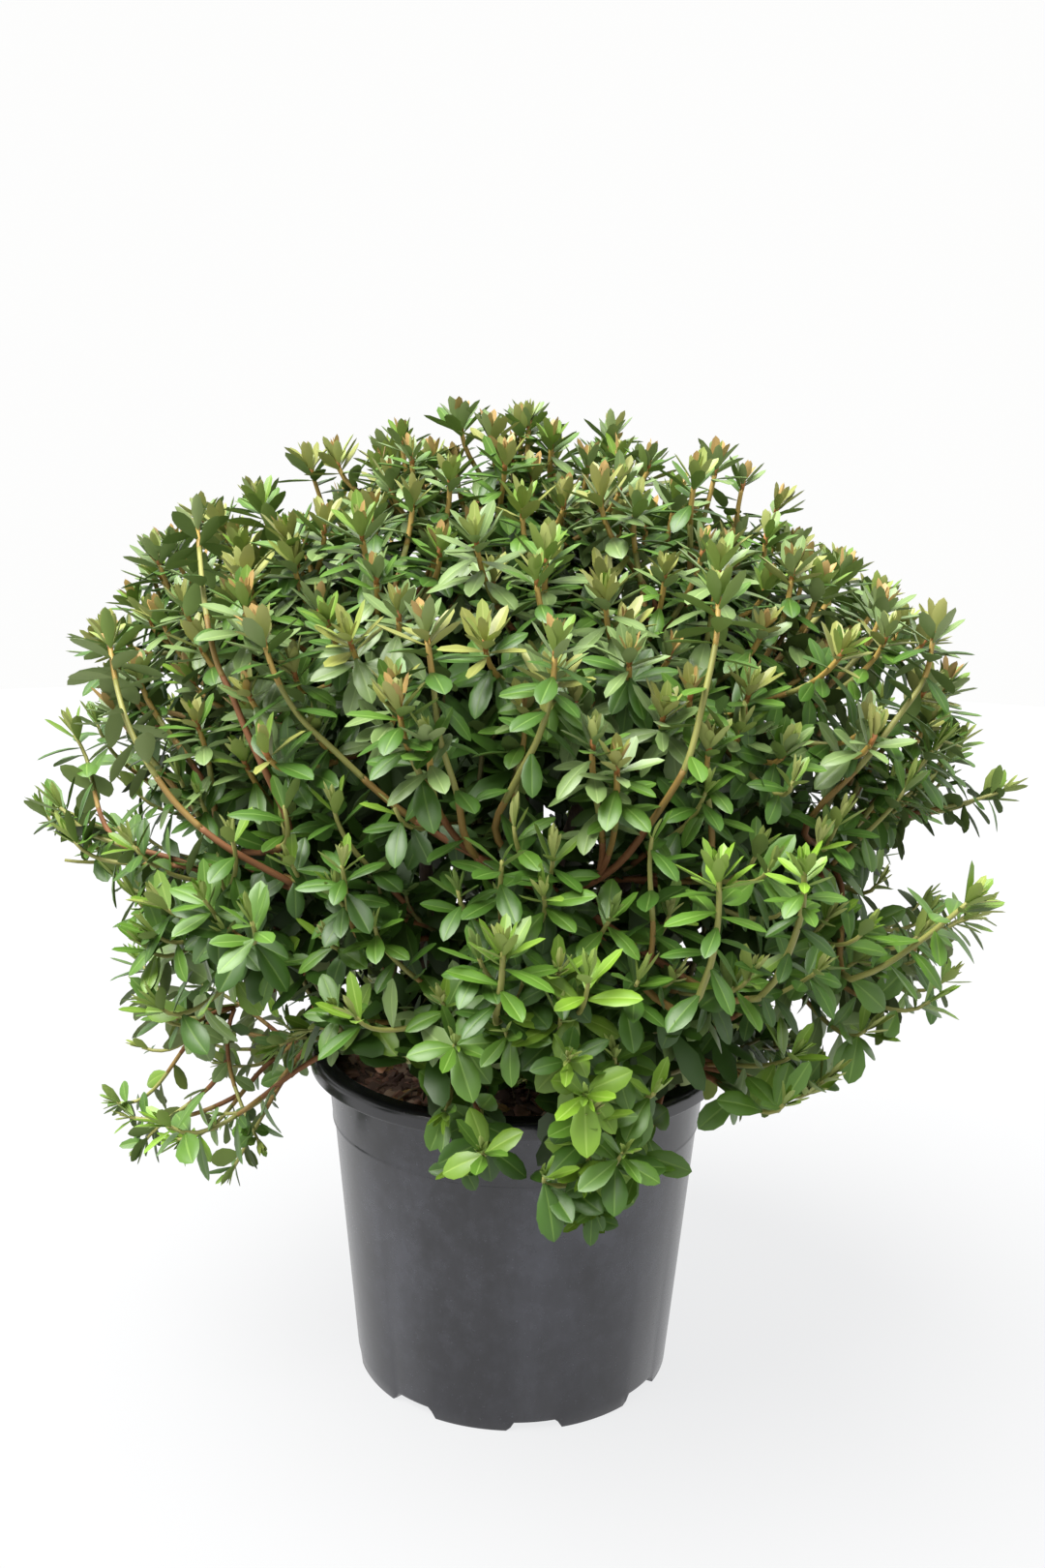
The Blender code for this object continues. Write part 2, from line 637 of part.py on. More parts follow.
class Leaves:
    """Leaf blades placed one by one in a mass's cell, clear of pot, twigs and each other."""

    def __init__(self, name, crown, leaf, obstacles):
        self.name = name
        self.crown = crown
        ends = [[leaf.vertices[i].co for i in edge.vertices] for edge in leaf.edges]
        self.samples = [a.lerp(b, t) for a, b in ends for t in (0.0, 0.25, 0.5, 0.75)]
        self.corners = [v.co.copy() for v in leaf.vertices]
        root = min(self.corners, key=lambda corner: corner.x)
        root.x = LEAF_LENGTH * ROOT_SHARE
        self.faces = [tuple(face.vertices) for face in leaf.polygons]
        self.taken = [surface_of(obstacle) for obstacle in obstacles]
        self.places = []

    def try_place(self, root, axis, turn, spread):
        """A leaf that stands at an angle to an axis, its upper face to the axis, if there is room."""
        side = Matrix.Rotation(math.radians(turn), 3, axis) @ axis.orthogonal().normalized()
        along = axis * math.cos(math.radians(spread)) + side * math.sin(math.radians(spread))
        upper = (axis - along * axis.dot(along)).normalized()
        frame = Matrix((along, upper.cross(along), upper)).transposed() * rng.uniform(*LEAF_SIZES)
        place = Matrix.Translation(root - along * LEAF_SINK) @ frame.to_4x4()
        if not all(self.crown.allows(self.name, place @ sample) for sample in self.samples):
            return False
        blade = BVHTree.FromPolygons([place @ corner for corner in self.corners], self.faces)
        if any(blade.overlap(other) for other in self.taken):
            return False
        self.taken.append(blade)
        self.places.append(place)
        return True

    def whorl(self, tip, axis):
        """Leaves round a shoot's tip; each turns until it finds room, or is left out."""
        start = rng.uniform(0.0, 360.0)
        for i in range(LEAVES_PER_SHOOT):
            root = tip - axis * (WHORL_START + WHORL_STEP * i)
            for attempt in range(TRIES):
                scatter = rng.uniform(-TURN_SCATTER, TURN_SCATTER) * attempt
                turn = start + 360.0 / LEAVES_PER_SHOOT * i + scatter
                if self.try_place(root, axis, turn, LEAF_SPREAD + rng.uniform(*SPREAD_SCATTER)):
                    break

    def on_core(self):
        """Leaves that stand out of the core, evenly to all sides."""
        middle = self.crown.core_middle(self.name)
        for i in range(LEAVES_PER_CORE):
            height = 1.0 - 2.0 * (i + 0.5) / LEAVES_PER_CORE
            direction = on_sphere(math.degrees(GOLDEN_ANGLE * i), math.degrees(math.asin(height)))
            root = middle + direction * CORE_RADIUS * CORE_LEAF_ROOT
            for _ in range(TRIES):
                turn = rng.uniform(0.0, 360.0)
                if self.try_place(root, direction, turn, rng.uniform(*CORE_LEAF_SPREADS)):
                    break


def grow_twigs(name, carrier, tips, crown):
    """Lines of points and radii: the stem from its bough's tip, then a twig to each shoot tip."""
    tip, direction = carrier.tip()
    first_radius = carrier.radii[-1]
    middle = Vector(crown.middles[crown.names.index(name)])
    root = tip + direction * GAP
    collar = root + direction * STEM_STRAIGHT
    hub = collar.lerp(middle, HUB_PLACE)
    hub_radius = first_radius * STEM_TAPER
    lines = [([root, collar, hub], [first_radius, first_radius, hub_radius])]
    # places that a twig may leave from: point, way back to the bough, radius, direction
    joints = [(hub, 0.0, hub_radius, (hub - collar).normalized())]
    shoots = []
    for target in sorted(tips, key=lambda t: (t - hub).length):
        point, way, radius, heading = min(
            joints, key=lambda j: (target - j[0]).length + PATH_WEIGHT * j[1],
        )
        outward = (target - CROWN_MIDDLE).normalized()
        axis = (outward + Vector((0.0, 0.0, TWIG_LIFT))).normalized()
        foot, _, bend, end = curve_between(point, heading + (target - point).normalized(), target, axis, 4)
        samples = [a.lerp(b, t / 8) for a, b in ((foot, bend), (bend, end)) for t in range(9)]
        if not all(crown.allows(name, sample, TWIG_TIP_RADIUS) for sample in samples[1:]):
            continue
        bend_radius = max(radius * TWIG_TAPER, TWIG_TIP_RADIUS)
        lines.append(([foot, bend, end], [radius * TWIG_FOOT, bend_radius, TWIG_TIP_RADIUS]))
        heading = (end - bend).normalized()
        joints.append((bend, way + (bend - foot).length, bend_radius, heading))
        shoots.append((end, heading))
    return lines, shoots


def core_mesh(name, crown):
    """A faceted lump inside a mass that the twigs stand out of."""
    middle = crown.core_middle(name)
    bm = bmesh.new()
    bmesh.ops.create_icosphere(bm, subdivisions=1, radius=1.0)
    nearest, furthest = CORE_DEPTHS
    to_cell, to_limbs, to_pot = CORE_MARGINS
    for point in bm.verts:
        direction = point.co.normalized()
        reach = CORE_RADIUS * rng.uniform(*CORE_IRREGULARITY)
        while reach > CORE_STEP:
            place = middle + direction * reach
            fits = nearest < depth_of(place) < furthest and crown.in_cell(name, place, to_cell)
            if fits and crown.clear_of_limbs(place, to_limbs) and place.z > POT_HEIGHT + to_pot:
                break
            reach -= CORE_STEP
        point.co = middle + direction * reach
    return mesh_from(bm, f"{name}_core")


def largest_island(mesh):
    """Drops loose scraps, and fills sealed hollows by dropping their inner skins."""
    bm = bmesh.new()
    bm.from_mesh(mesh)
    unseen = set(bm.verts)
    islands = []
    while unseen:
        island = {unseen.pop()}
        edge = list(island)
        while edge:
            for link in edge.pop().link_edges:
                for point in link.verts:
                    if point in unseen:
                        unseen.remove(point)
                        island.add(point)
                        edge.append(point)
        islands.append(island)
    keep = max(islands, key=len)
    bmesh.ops.delete(bm, geom=[v for v in bm.verts if v not in keep], context="VERTS")
    bm.to_mesh(mesh)
    bm.free()


def is_closed(mesh):
    bm = bmesh.new()
    bm.from_mesh(mesh)
    edges_meet = all(edge.is_manifold and edge.is_contiguous for edge in bm.edges)
    corners_meet = all(point.is_manifold for point in bm.verts)
    bm.free()
    return edges_meet and corners_meet


def union_of(thing, group):
    """The mesh of an object joined with a collection; where no solver closes it, a leaf is left out."""
    while True:
        for solver in ("EXACT", "MANIFOLD"):
            thing.modifiers.clear()
            boolean(thing, "UNION", group, solver)
            bpy.context.view_layer.update()
            joined = evaluated_mesh(thing)
            largest_island(joined)
            if is_closed(joined):
                thing.modifiers.clear()
                return joined
        leaves = [piece for piece in group.objects if "_leaf" in piece.name]
        bpy.data.objects.remove(leaves[-1])


def make_mass(name, carrier, tips, crown, leaf, pot_mesh, parts):
    lines, shoots = grow_twigs(name, carrier, tips, crown)
    stem, *twigs = [tube_mesh("twig", points, radii, 3) for points, radii in lines]
    leaves = Leaves(name, crown, leaf, twigs + [pot_mesh])
    for tip, axis in shoots:
        leaves.whorl(tip, axis)
    leaves.on_core()

    group = new_collection(f"{name}_pieces")
    add_object(f"{name}_core", core_mesh(name, crown), group)
    for twig in twigs:
        add_object(f"{name}_twig", twig, group)
    for place in leaves.places:
        add_object(f"{name}_leaf", leaf, group).matrix_world = place

    mass = add_object(f"foliage_{name}", stem, parts)
    mass.data = union_of(mass, group)
    mass.data.name = mass.name
    for piece in list(group.objects):
        bpy.data.objects.remove(piece)
    bpy.data.collections.remove(group)
    dress(mass, "foliage")


# ---------------------------------------------------------------- assembly
clear_scene()
parts = new_collection("azalea_in_pot")
cutters = new_collection("cutters")

section = bpy.data.curves.new("twig_section", "CURVE")
section_line = section.splines.new("POLY")
section_line.points.add(2)
for i, knot in enumerate(section_line.points):
    knot.co = (*on_sphere(-120.0 * i, 0.0), 1.0)
section_line.use_cyclic_u = True
as_cutter(add_object("twig_section", section, cutters))

pot = make_pot(parts, cutters)
make_medium(parts)
make_trunk(parts)
limbs, carriers = plan_boughs()
make_boughs(limbs, parts, cutters)

crown = Crown(limbs)
tips = shoot_tips(crown)
leaf = leaf_mesh()
pot_mesh = evaluated_mesh(pot)
for name in crown.names:
    make_mass(name, carriers[name], tips[name], crown, leaf, pot_mesh, parts)
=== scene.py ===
import math

import bmesh
import bpy
import numpy as np
from mathutils import Matrix, Vector, noise


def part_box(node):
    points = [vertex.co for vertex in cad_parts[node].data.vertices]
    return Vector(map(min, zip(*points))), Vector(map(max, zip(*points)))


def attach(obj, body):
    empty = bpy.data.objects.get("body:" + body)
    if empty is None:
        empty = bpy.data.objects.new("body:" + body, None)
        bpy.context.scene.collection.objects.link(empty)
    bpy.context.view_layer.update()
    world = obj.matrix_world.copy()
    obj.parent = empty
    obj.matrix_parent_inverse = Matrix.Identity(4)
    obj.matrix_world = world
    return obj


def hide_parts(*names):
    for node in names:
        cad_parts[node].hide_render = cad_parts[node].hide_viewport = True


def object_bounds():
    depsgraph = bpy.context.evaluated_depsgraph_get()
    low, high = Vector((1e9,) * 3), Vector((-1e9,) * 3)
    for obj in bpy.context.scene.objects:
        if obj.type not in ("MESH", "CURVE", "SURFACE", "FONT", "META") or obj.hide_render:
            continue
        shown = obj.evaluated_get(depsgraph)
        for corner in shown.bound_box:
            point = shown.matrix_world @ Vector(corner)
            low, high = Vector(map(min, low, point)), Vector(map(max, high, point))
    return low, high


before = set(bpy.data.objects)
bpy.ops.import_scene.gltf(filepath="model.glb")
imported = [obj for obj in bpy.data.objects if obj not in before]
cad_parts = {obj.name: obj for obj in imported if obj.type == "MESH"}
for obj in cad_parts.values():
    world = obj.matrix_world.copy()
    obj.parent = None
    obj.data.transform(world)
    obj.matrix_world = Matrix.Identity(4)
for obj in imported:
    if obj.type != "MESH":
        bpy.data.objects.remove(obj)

cad_low, cad_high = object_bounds()

# ------------------------------------------------------------------------------ studio
# A wide pale floor under an even white sky, with one very soft lamp above, in front and to
# the left.  The camera stands level with the upper crown and looks slightly down, and is
# held by hand, so it leans about one degree.
scene = bpy.context.scene
scene.view_settings.view_transform = "Standard"

CAMERA_PLACE = (0.001, -1.277, 0.756)
CAMERA_PITCH = 10.57  # degrees below level
CAMERA_LEAN = 0.97
CAMERA_LENS = 35.0  # millimetres, as the sensor
CAMERA_SENSOR = 36.0
camera = bpy.data.objects.new("camera", bpy.data.cameras.new("camera"))
scene.collection.objects.link(camera)
camera.data.lens = CAMERA_LENS
camera.data.sensor_width = CAMERA_SENSOR
camera.matrix_world = (
    Matrix.Translation(CAMERA_PLACE)
    @ Matrix.Rotation(math.radians(90.0 - CAMERA_PITCH), 4, "X")
    @ Matrix.Rotation(math.radians(CAMERA_LEAN), 4, "Z")
)
scene.camera = camera


class Signal:
    """A shader socket that can be used in sums and products with numbers and other signals."""

    def __init__(self, finish, socket):
        self.finish = finish
        self.socket = socket

    def math(self, operation, *values):
        return self.finish.node("ShaderNodeMath", {"operation": operation}, dict(enumerate(values)))

    def __add__(self, other):
        return self.math("ADD", self, other)

    def __sub__(self, other):
        return self.math("SUBTRACT", self, other)

    def __rsub__(self, other):
        return self.math("SUBTRACT", other, self)

    def __mul__(self, other):
        return self.math("MULTIPLY", self, other)

    __radd__ = __add__
    __rmul__ = __mul__

    def between(self, low, high):
        """0 below low, 1 above high, smooth in between."""
        settings = {"interpolation_type": "SMOOTHSTEP"}
        return self.finish.node("ShaderNodeMapRange", settings, {0: self, 1: low, 2: high})


class Finish:
    """A material with a Principled shader, and the nodes that feed it."""

    def __init__(self, name, colour, roughness, **sockets):
        self.material = bpy.data.materials.new(name)
        self.material.use_nodes = True
        self.tree = self.material.node_tree
        self.shader = self.tree.nodes["Principled BSDF"]
        self.set(**{"Base Color": colour, "Roughness": roughness, **sockets})

    def set(self, **sockets):
        for name, value in sockets.items():
            self.feed(self.shader.inputs[name.replace("_", " ")], value)

    def feed(self, socket, value):
        if isinstance(value, Signal):
            self.tree.links.new(value.socket, socket)
        elif isinstance(value, (tuple, list)) and socket.type == "RGBA":
            socket.default_value = (*value, 1.0)
        else:
            socket.default_value = value

    def node(self, kind, settings, sockets, output=0):
        """A node's output, after its settings are made and its sockets fed."""
        made = self.tree.nodes.new(kind)
        for name, value in settings.items():
            setattr(made, name, value)
        for name, value in sockets.items():
            self.feed(made.inputs[name], value)
        return Signal(self, made.outputs[output])

    def place(self, stretch):
        """Object coordinates, stretched along the axes."""
        coordinates = self.node("ShaderNodeTexCoord", {}, {}, "Object")
        return self.node("ShaderNodeMapping", {}, {"Vector": coordinates, "Scale": stretch})

    def noise(self, scale, detail=3.0, roughness=0.5, stretch=(1.0, 1.0, 1.0)):
        sockets = {"Vector": self.place(stretch), "Scale": scale, "Detail": detail, "Roughness": roughness}
        return self.node("ShaderNodeTexNoise", {}, sockets)

    def blend(self, mask, first, second):
        """One colour where the mask is 0, the other where it is 1."""
        return self.node("ShaderNodeMix", {"data_type": "RGBA"}, {0: mask, 6: first, 7: second}, 2)

    def bump(self, height, distance, strength=1.0):
        sockets = {"Height": height, "Distance": distance, "Strength": strength}
        return self.node("ShaderNodeBump", {}, sockets)


def add_piece(name, bm_or_mesh, *finishes):
    """A new object at the origin, with its finishes in order."""
    mesh = bm_or_mesh
    if isinstance(bm_or_mesh, bmesh.types.BMesh):
        mesh = bpy.data.meshes.new(name)
        bm_or_mesh.to_mesh(mesh)
        bm_or_mesh.free()
    mesh.name = name
    for finish in finishes:
        mesh.materials.append(finish.material)
    piece = bpy.data.objects.new(name, mesh)
    scene.collection.objects.link(piece)
    return piece


STUDIO_FLOOR_RADIUS = 5.0
FLOOR_GREY = 0.035  # it glows by itself, so that only a faint shadow shows
FLOOR_GLOW = 0.80
bm = bmesh.new()
bmesh.ops.create_circle(bm, cap_ends=True, segments=96, radius=STUDIO_FLOOR_RADIUS)
floor_finish = Finish(
    "matt_white_floor", (FLOOR_GREY, FLOOR_GREY, FLOOR_GREY), 0.9,
    Emission_Color=(0.985, 0.99, 1.0), Emission_Strength=FLOOR_GLOW,
)
studio_floor = add_piece("studio_floor", bm, floor_finish)

SKY_STRENGTH = 0.985
world = bpy.data.worlds.new("even_sky")
world.use_nodes = True
sky = world.node_tree.nodes["Background"]
sky.inputs["Color"].default_value = (1.0, 1.0, 0.995, 1.0)
sky.inputs["Strength"].default_value = SKY_STRENGTH
scene.world = world

LAMP_PLACE = (-0.52, -0.36, 1.38)  # only its direction matters
LAMP_STRENGTH = 11.2
LAMP_SOFTNESS = 54.0  # degrees that the lamp fills in the sky
lamp = bpy.data.objects.new("overhead", bpy.data.lights.new("overhead", "SUN"))
scene.collection.objects.link(lamp)
lamp.data.energy = LAMP_STRENGTH
lamp.data.angle = math.radians(LAMP_SOFTNESS)
lamp.data.color = (1.0, 0.992, 0.965)
lamp.rotation_euler = Vector(LAMP_PLACE).to_track_quat("Z", "Y").to_euler()

# --------------------------------------------------------------------------------- pot
# A thin injection-moulded nursery pot of black recycled plastic, satin and a little dusty.
# The wall steps out at a shoulder where pots nest, ends in a rolled lip with small webs
# under it, and stands on a foot ring with eight notches.
_, pot_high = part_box("pot")
POT_HEIGHT = pot_high.z
LIP_RADIUS = pot_high.x
FOOT_RADIUS = 0.1385
RIM_RADIUS = 0.1655
LIP_HEIGHT = 0.014
LIP_ROUNDING = 0.0055
WALL = 0.0025
FLOOR = 0.012
LIP_EDGE_ROUNDING = 0.0015  # along the lip's lower edge
UNDER_LIP_ROUNDING = 0.0008
RIM_ROUNDING = 0.002  # at the inside of the rim
FLOOR_ROUNDING = 0.003
SHOULDER_HEIGHT = 0.225
SHOULDER_STEP = 0.0015
SHOULDER_BEAD = ((0.0001, 0.0038), (0.0001, 0.0032), (0.0004, 0.0022), (0.0003, 0.0012))  # out and up
POT_STEPS = 240
NOTCHES = 8
NOTCH_HEIGHT = 0.009
NOTCH_DEPTH = 0.012
NOTCH_HALF_ANGLE = 8.2
NOTCH_SLOPE = 1.6  # degrees over which a notch's end slopes
NOTCH_FIRST_AZIMUTH = -81.5
FOOT_EDGE = 0.0012  # bevel round the foot
WEBS = 4
WEB_FIRST_AZIMUTH = 205.0
WEB_SIZE = (0.0100, 0.003, 0.012)  # out from the wall, wide, tall
WEB_FOOT = 0.0008  # how far its foot still stands out
POT_SHARP_ANGLE = 26.0
CLEAN_PLASTIC = (0.008, 0.008, 0.011)
DUSTY_PLASTIC = (0.061, 0.064, 0.082)
DUST_ON_LIP = 0.12  # share of the dust pattern that the lip has, so the lip is darker and glossier than the wall
DUST_AT_FOOT = 0.46  # and the foot of the wall, so the wall is darker towards its foot


def turn_profile(bm, profile, steps):
    """A line of (radius, height) points spun once round the Z axis and closed."""
    points = [bm.verts.new((radius, 0.0, height)) for radius, height in profile]
    for a, b in zip(points, points[1:]):
        bm.edges.new((a, b))
    bmesh.ops.spin(
        bm, geom=bm.verts[:] + bm.edges[:], cent=(0, 0, 0), axis=(0, 0, 1), dvec=(0, 0, 0),
        angle=2.0 * math.pi, steps=steps, use_merge=True, use_duplicate=False,
    )
    bmesh.ops.remove_doubles(bm, verts=bm.verts, dist=0.00001)
    bmesh.ops.recalc_face_normals(bm, faces=bm.faces)


def arc(middle, radius, first, last, count):
    """(radius, height) points on an arc in a profile, angles in degrees."""
    angles = [math.radians(first + (last - first) * i / (count - 1)) for i in range(count)]
    return [(middle[0] + radius * math.cos(a), middle[1] + radius * math.sin(a)) for a in angles]


def wall_radius(height):
    """Outside of the pot's wall below the shoulder, or in line with it."""
    share = height / (POT_HEIGHT - LIP_HEIGHT)
    return FOOT_RADIUS + (RIM_RADIUS - FOOT_RADIUS - SHOULDER_STEP) * share


def notch_share(azimuth):
    """1 inside a foot notch, 0 between two, sloping at its ends; azimuth in degrees."""
    pitch = 360.0 / NOTCHES
    offset = abs((azimuth - NOTCH_FIRST_AZIMUTH + pitch / 2) % pitch - pitch / 2)
    return min(1.0, max(0.0, (NOTCH_HALF_ANGLE - offset) / NOTCH_SLOPE + 0.5))


def make_pot():
    """The pot's shell in one turned profile, its foot raised at the notches."""
    bm = bmesh.new()
    lip_top = POT_HEIGHT - LIP_ROUNDING
    lip_foot = POT_HEIGHT - LIP_HEIGHT
    floor_edge = wall_radius(FLOOR) - WALL
    inside = [(0.0, FLOOR), (floor_edge - FLOOR_ROUNDING, FLOOR), (floor_edge, FLOOR + FLOOR_ROUNDING)]
    inside += [(wall_radius(SHOULDER_HEIGHT) - WALL, SHOULDER_HEIGHT)]
    rim_middle = (RIM_RADIUS - WALL + RIM_ROUNDING, POT_HEIGHT - RIM_ROUNDING)
    inside += arc(rim_middle, RIM_ROUNDING, 180.0, 90.0, 5)
    outside = arc((LIP_RADIUS - LIP_ROUNDING, lip_top), LIP_ROUNDING, 90.0, 0.0, 8)
    edge_middle = (LIP_RADIUS - LIP_EDGE_ROUNDING, lip_foot + LIP_EDGE_ROUNDING)
    outside += arc(edge_middle, LIP_EDGE_ROUNDING, 0.0, -90.0, 7)
    corner_middle = (RIM_RADIUS + UNDER_LIP_ROUNDING, lip_foot - UNDER_LIP_ROUNDING)
    outside += arc(corner_middle, UNDER_LIP_ROUNDING, 90.0, 180.0, 6)
    step = wall_radius(SHOULDER_HEIGHT)
    outside += [(step + SHOULDER_STEP + out, SHOULDER_HEIGHT + up) for out, up in SHOULDER_BEAD]
    outside += [(step, SHOULDER_HEIGHT), (step - 0.0001, SHOULDER_HEIGHT - 0.0006)]
    foot_inner = FOOT_RADIUS - NOTCH_DEPTH
    foot = [(wall_radius(0.012), 0.012), (FOOT_RADIUS + 0.0001, FOOT_EDGE), (FOOT_RADIUS - 0.0004, 0.0003)]
    foot += [(FOOT_RADIUS - FOOT_EDGE, 0.0), (foot_inner + 0.0002, 0.0), (foot_inner, 0.0), (0.0, 0.0)]
    turn_profile(bm, inside + outside + foot, POT_STEPS)
    for point in bm.verts:
        from_axis = math.hypot(point.co.x, point.co.y)
        if point.co.z < 0.002 and from_axis > foot_inner + 0.0001:
            azimuth = math.degrees(math.atan2(point.co.y, point.co.x))
            point.co.z += (NOTCH_HEIGHT - point.co.z) * notch_share(azimuth)
    return bm


def make_webs():
    """Small three-cornered webs between the lip and the wall."""
    bm = bmesh.new()
    for i in range(WEBS):
        made = bmesh.ops.create_cube(bm, size=1.0)["verts"]
        turn = Matrix.Rotation(math.radians(WEB_FIRST_AZIMUTH + 360.0 / WEBS * i), 3, "Z")
        out, wide, tall = WEB_SIZE
        for corner in made:
            upper, outer = corner.co.z > 0.0, corner.co.x > 0.0
            z = POT_HEIGHT - (LIP_HEIGHT * 0.5 if upper else LIP_HEIGHT + tall)
            x = RIM_RADIUS - WALL / 2 + (out if upper else WEB_FOOT) * outer
            corner.co = turn @ Vector((x, corner.co.y * wide, z))
    return bm


def black_plastic():
    """Recycled black plastic: dusty, with faint runs down the wall and mould grain; the lip is darker and
    glossier than the wall, and the wall darker towards its foot.
    """
    finish = Finish("black_pot_plastic", CLEAN_PLASTIC, 0.4, IOR=1.6)
    coordinates = finish.node("ShaderNodeTexCoord", {}, {}, "Object")
    height = finish.node("ShaderNodeSeparateXYZ", {}, {"Vector": coordinates}, "Z")
    lip_foot = POT_HEIGHT - LIP_HEIGHT
    below_lip = 1.0 - height.between(lip_foot - 0.001, lip_foot + 0.001)
    clouds = finish.noise(8.0, 5.0, 0.65, stretch=(1.0, 1.0, 0.6)).between(0.38, 0.72)
    runs = finish.noise(26.0, 5.0, 0.65, stretch=(1.0, 1.0, 0.10)).between(0.50, 0.80)
    mottle = finish.noise(70.0, 4.0, 0.7).between(0.42, 0.72)
    specks = finish.noise(420.0, 1.0).between(0.70, 0.76)
    # the lip and the foot of the wall get less of the dust pattern, so they are darker
    on_wall = below_lip * (1.0 - DUST_ON_LIP) + DUST_ON_LIP
    fading_to_foot = height.between(0.0, SHOULDER_HEIGHT) * (1.0 - DUST_AT_FOOT) + DUST_AT_FOOT
    dust = (clouds * 0.55 + runs * 0.22 + mottle * 0.20) * on_wall * fading_to_foot + specks * 0.30
    grain = finish.noise(1500.0, 2.0) * 0.5 + finish.noise(90.0, 2.0)
    finish.set(**{
        "Base Color": finish.blend(dust, CLEAN_PLASTIC, DUSTY_PLASTIC),
        "Roughness": 0.22 + dust * 0.13,
        "Normal": finish.bump(grain, 0.00012, 0.6),
    })
    return finish


plastic = black_plastic()
pot = add_piece("pot_shell", make_pot(), plastic)
pot.data.shade_smooth()
pot.data.set_sharp_from_angle(angle=math.radians(POT_SHARP_ANGLE))
webs = add_piece("lip_webs", make_webs(), plastic)
webs_bevel = webs.modifiers.new("soft_edges", "BEVEL")
webs_bevel.width = 0.0006
webs_bevel.segments = 2
for piece in (pot, webs):
    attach(piece, "root")
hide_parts("pot")

# ---------------------------------------------------------------------- growing medium
# Moist, dark red-brown bark and peat that fills the pot to a finger's width under the rim.
# Loose chips, a few fallen leaves gone orange and thin dry twigs lie on it.
# Its colour and the chips' are painted lighter than bark and peat are: painted light where the crown shades
# the medium.
_, medium_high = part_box("growing_medium")
MEDIUM_RADIUS = medium_high.x
MEDIUM_TOP = POT_HEIGHT - 0.025
MEDIUM_LAYING = 0.0003  # how clear of the pot's floor it lies
MEDIUM_RINGS = 34
MEDIUM_STEPS = 150
MOUND_HEIGHT = medium_high.z - MEDIUM_TOP
MOUND_RADIUS = 0.14
LUMP_HEIGHT = 0.0035
LUMP_SCALE = 55.0
CHIPS = 1500
CHIP_LENGTHS = (0.004, 0.016)
CHIP_EDGE = 0.16  # bevel and raggedness, to a chip of length 1
CHIP_RAGGEDNESS = 0.28
FALLEN_LEAVES = 90
DRY_TWIGS = 26


def medium_surface(x, y):
    """Height of the medium's lumpy top, highest round the trunk."""
    mound = MOUND_HEIGHT * max(0.0, 1.0 - (math.hypot(x, y) / MOUND_RADIUS) ** 2)
    lumps = noise.fractal(Vector((x, y, 0.0)) * LUMP_SCALE, 0.9, 2.1, 5)
    return MEDIUM_TOP - 0.002 + mound * 0.9 + max(-1.0, min(1.0, lumps)) * LUMP_HEIGHT


def make_medium():
    """The medium as one closed body, its top raised to the lumpy surface."""
    bm = bmesh.new()
    top = [(MEDIUM_RADIUS * (i / MEDIUM_RINGS), MEDIUM_TOP) for i in range(MEDIUM_RINGS + 1)]
    floor_radius = wall_radius(FLOOR) - WALL - MEDIUM_LAYING * 2
    floor = FLOOR + MEDIUM_LAYING
    turn_profile(bm, top + [(floor_radius, floor), (0.0, floor)], MEDIUM_STEPS)
    for point in bm.verts:
        if point.co.z > MEDIUM_TOP - 0.001:
            point.co.z = medium_surface(point.co.x, point.co.y)
    return bm


# colours painted lighter than the medium's own: painted light in the crown's shade
medium_finish = Finish("bark_and_peat", (0.055, 0.026, 0.017), 0.95)
crumbs = medium_finish.noise(160.0, 6.0, 0.7)
fibres = medium_finish.noise(520.0, 3.0, 0.6).between(0.45, 0.7)
peat = medium_finish.blend(crumbs.between(0.35, 0.7), (0.150, 0.090, 0.068), (0.420, 0.265, 0.190))
medium_finish.set(**{
    "Base Color": medium_finish.blend(fibres * 0.5, peat, (0.52, 0.36, 0.26)),
    "Normal": medium_finish.bump(crumbs + fibres * 0.4, 0.0025),
})
medium = add_piece("growing_medium_fill", make_medium(), medium_finish)
medium.data.shade_smooth()
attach(medium, "root")
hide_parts("growing_medium")


rng = np.random.default_rng(20)
UP = Vector((0.0, 0.0, 1.0))
MOST_TRIANGLES = 190000  # of one joined piece
JOINED_SHARP_ANGLE = 55.0


class Pattern:
    """A small mesh that is repeated many times, as arrays."""

    def __init__(self, bm):
        bmesh.ops.recalc_face_normals(bm, faces=bm.faces)
        bm.verts.index_update()
        self.points = np.array([v.co for v in bm.verts])
        self.corners = np.array([v.index for f in bm.faces for v in f.verts])
        self.sizes = np.array([len(f.verts) for f in bm.faces])
        self.materials = np.array([f.material_index for f in bm.faces])
        self.triangles = int((self.sizes - 2).sum())
        bm.free()


def join_copies(name, pairs, *finishes):
    """Joined copies of patterns at 4x4 places, as one or more pieces below the most triangles."""
    batches = [[]]
    count = 0
    for pair in pairs:
        count += pair[0].triangles
        if count > MOST_TRIANGLES:
            batches.append([])
            count = pair[0].triangles
        batches[-1].append(pair)
    if len(batches) == 1:
        return [join_batch(name, batches[0], finishes)]
    return [join_batch(f"{name}_{i + 1}", batch, finishes) for i, batch in enumerate(batches)]


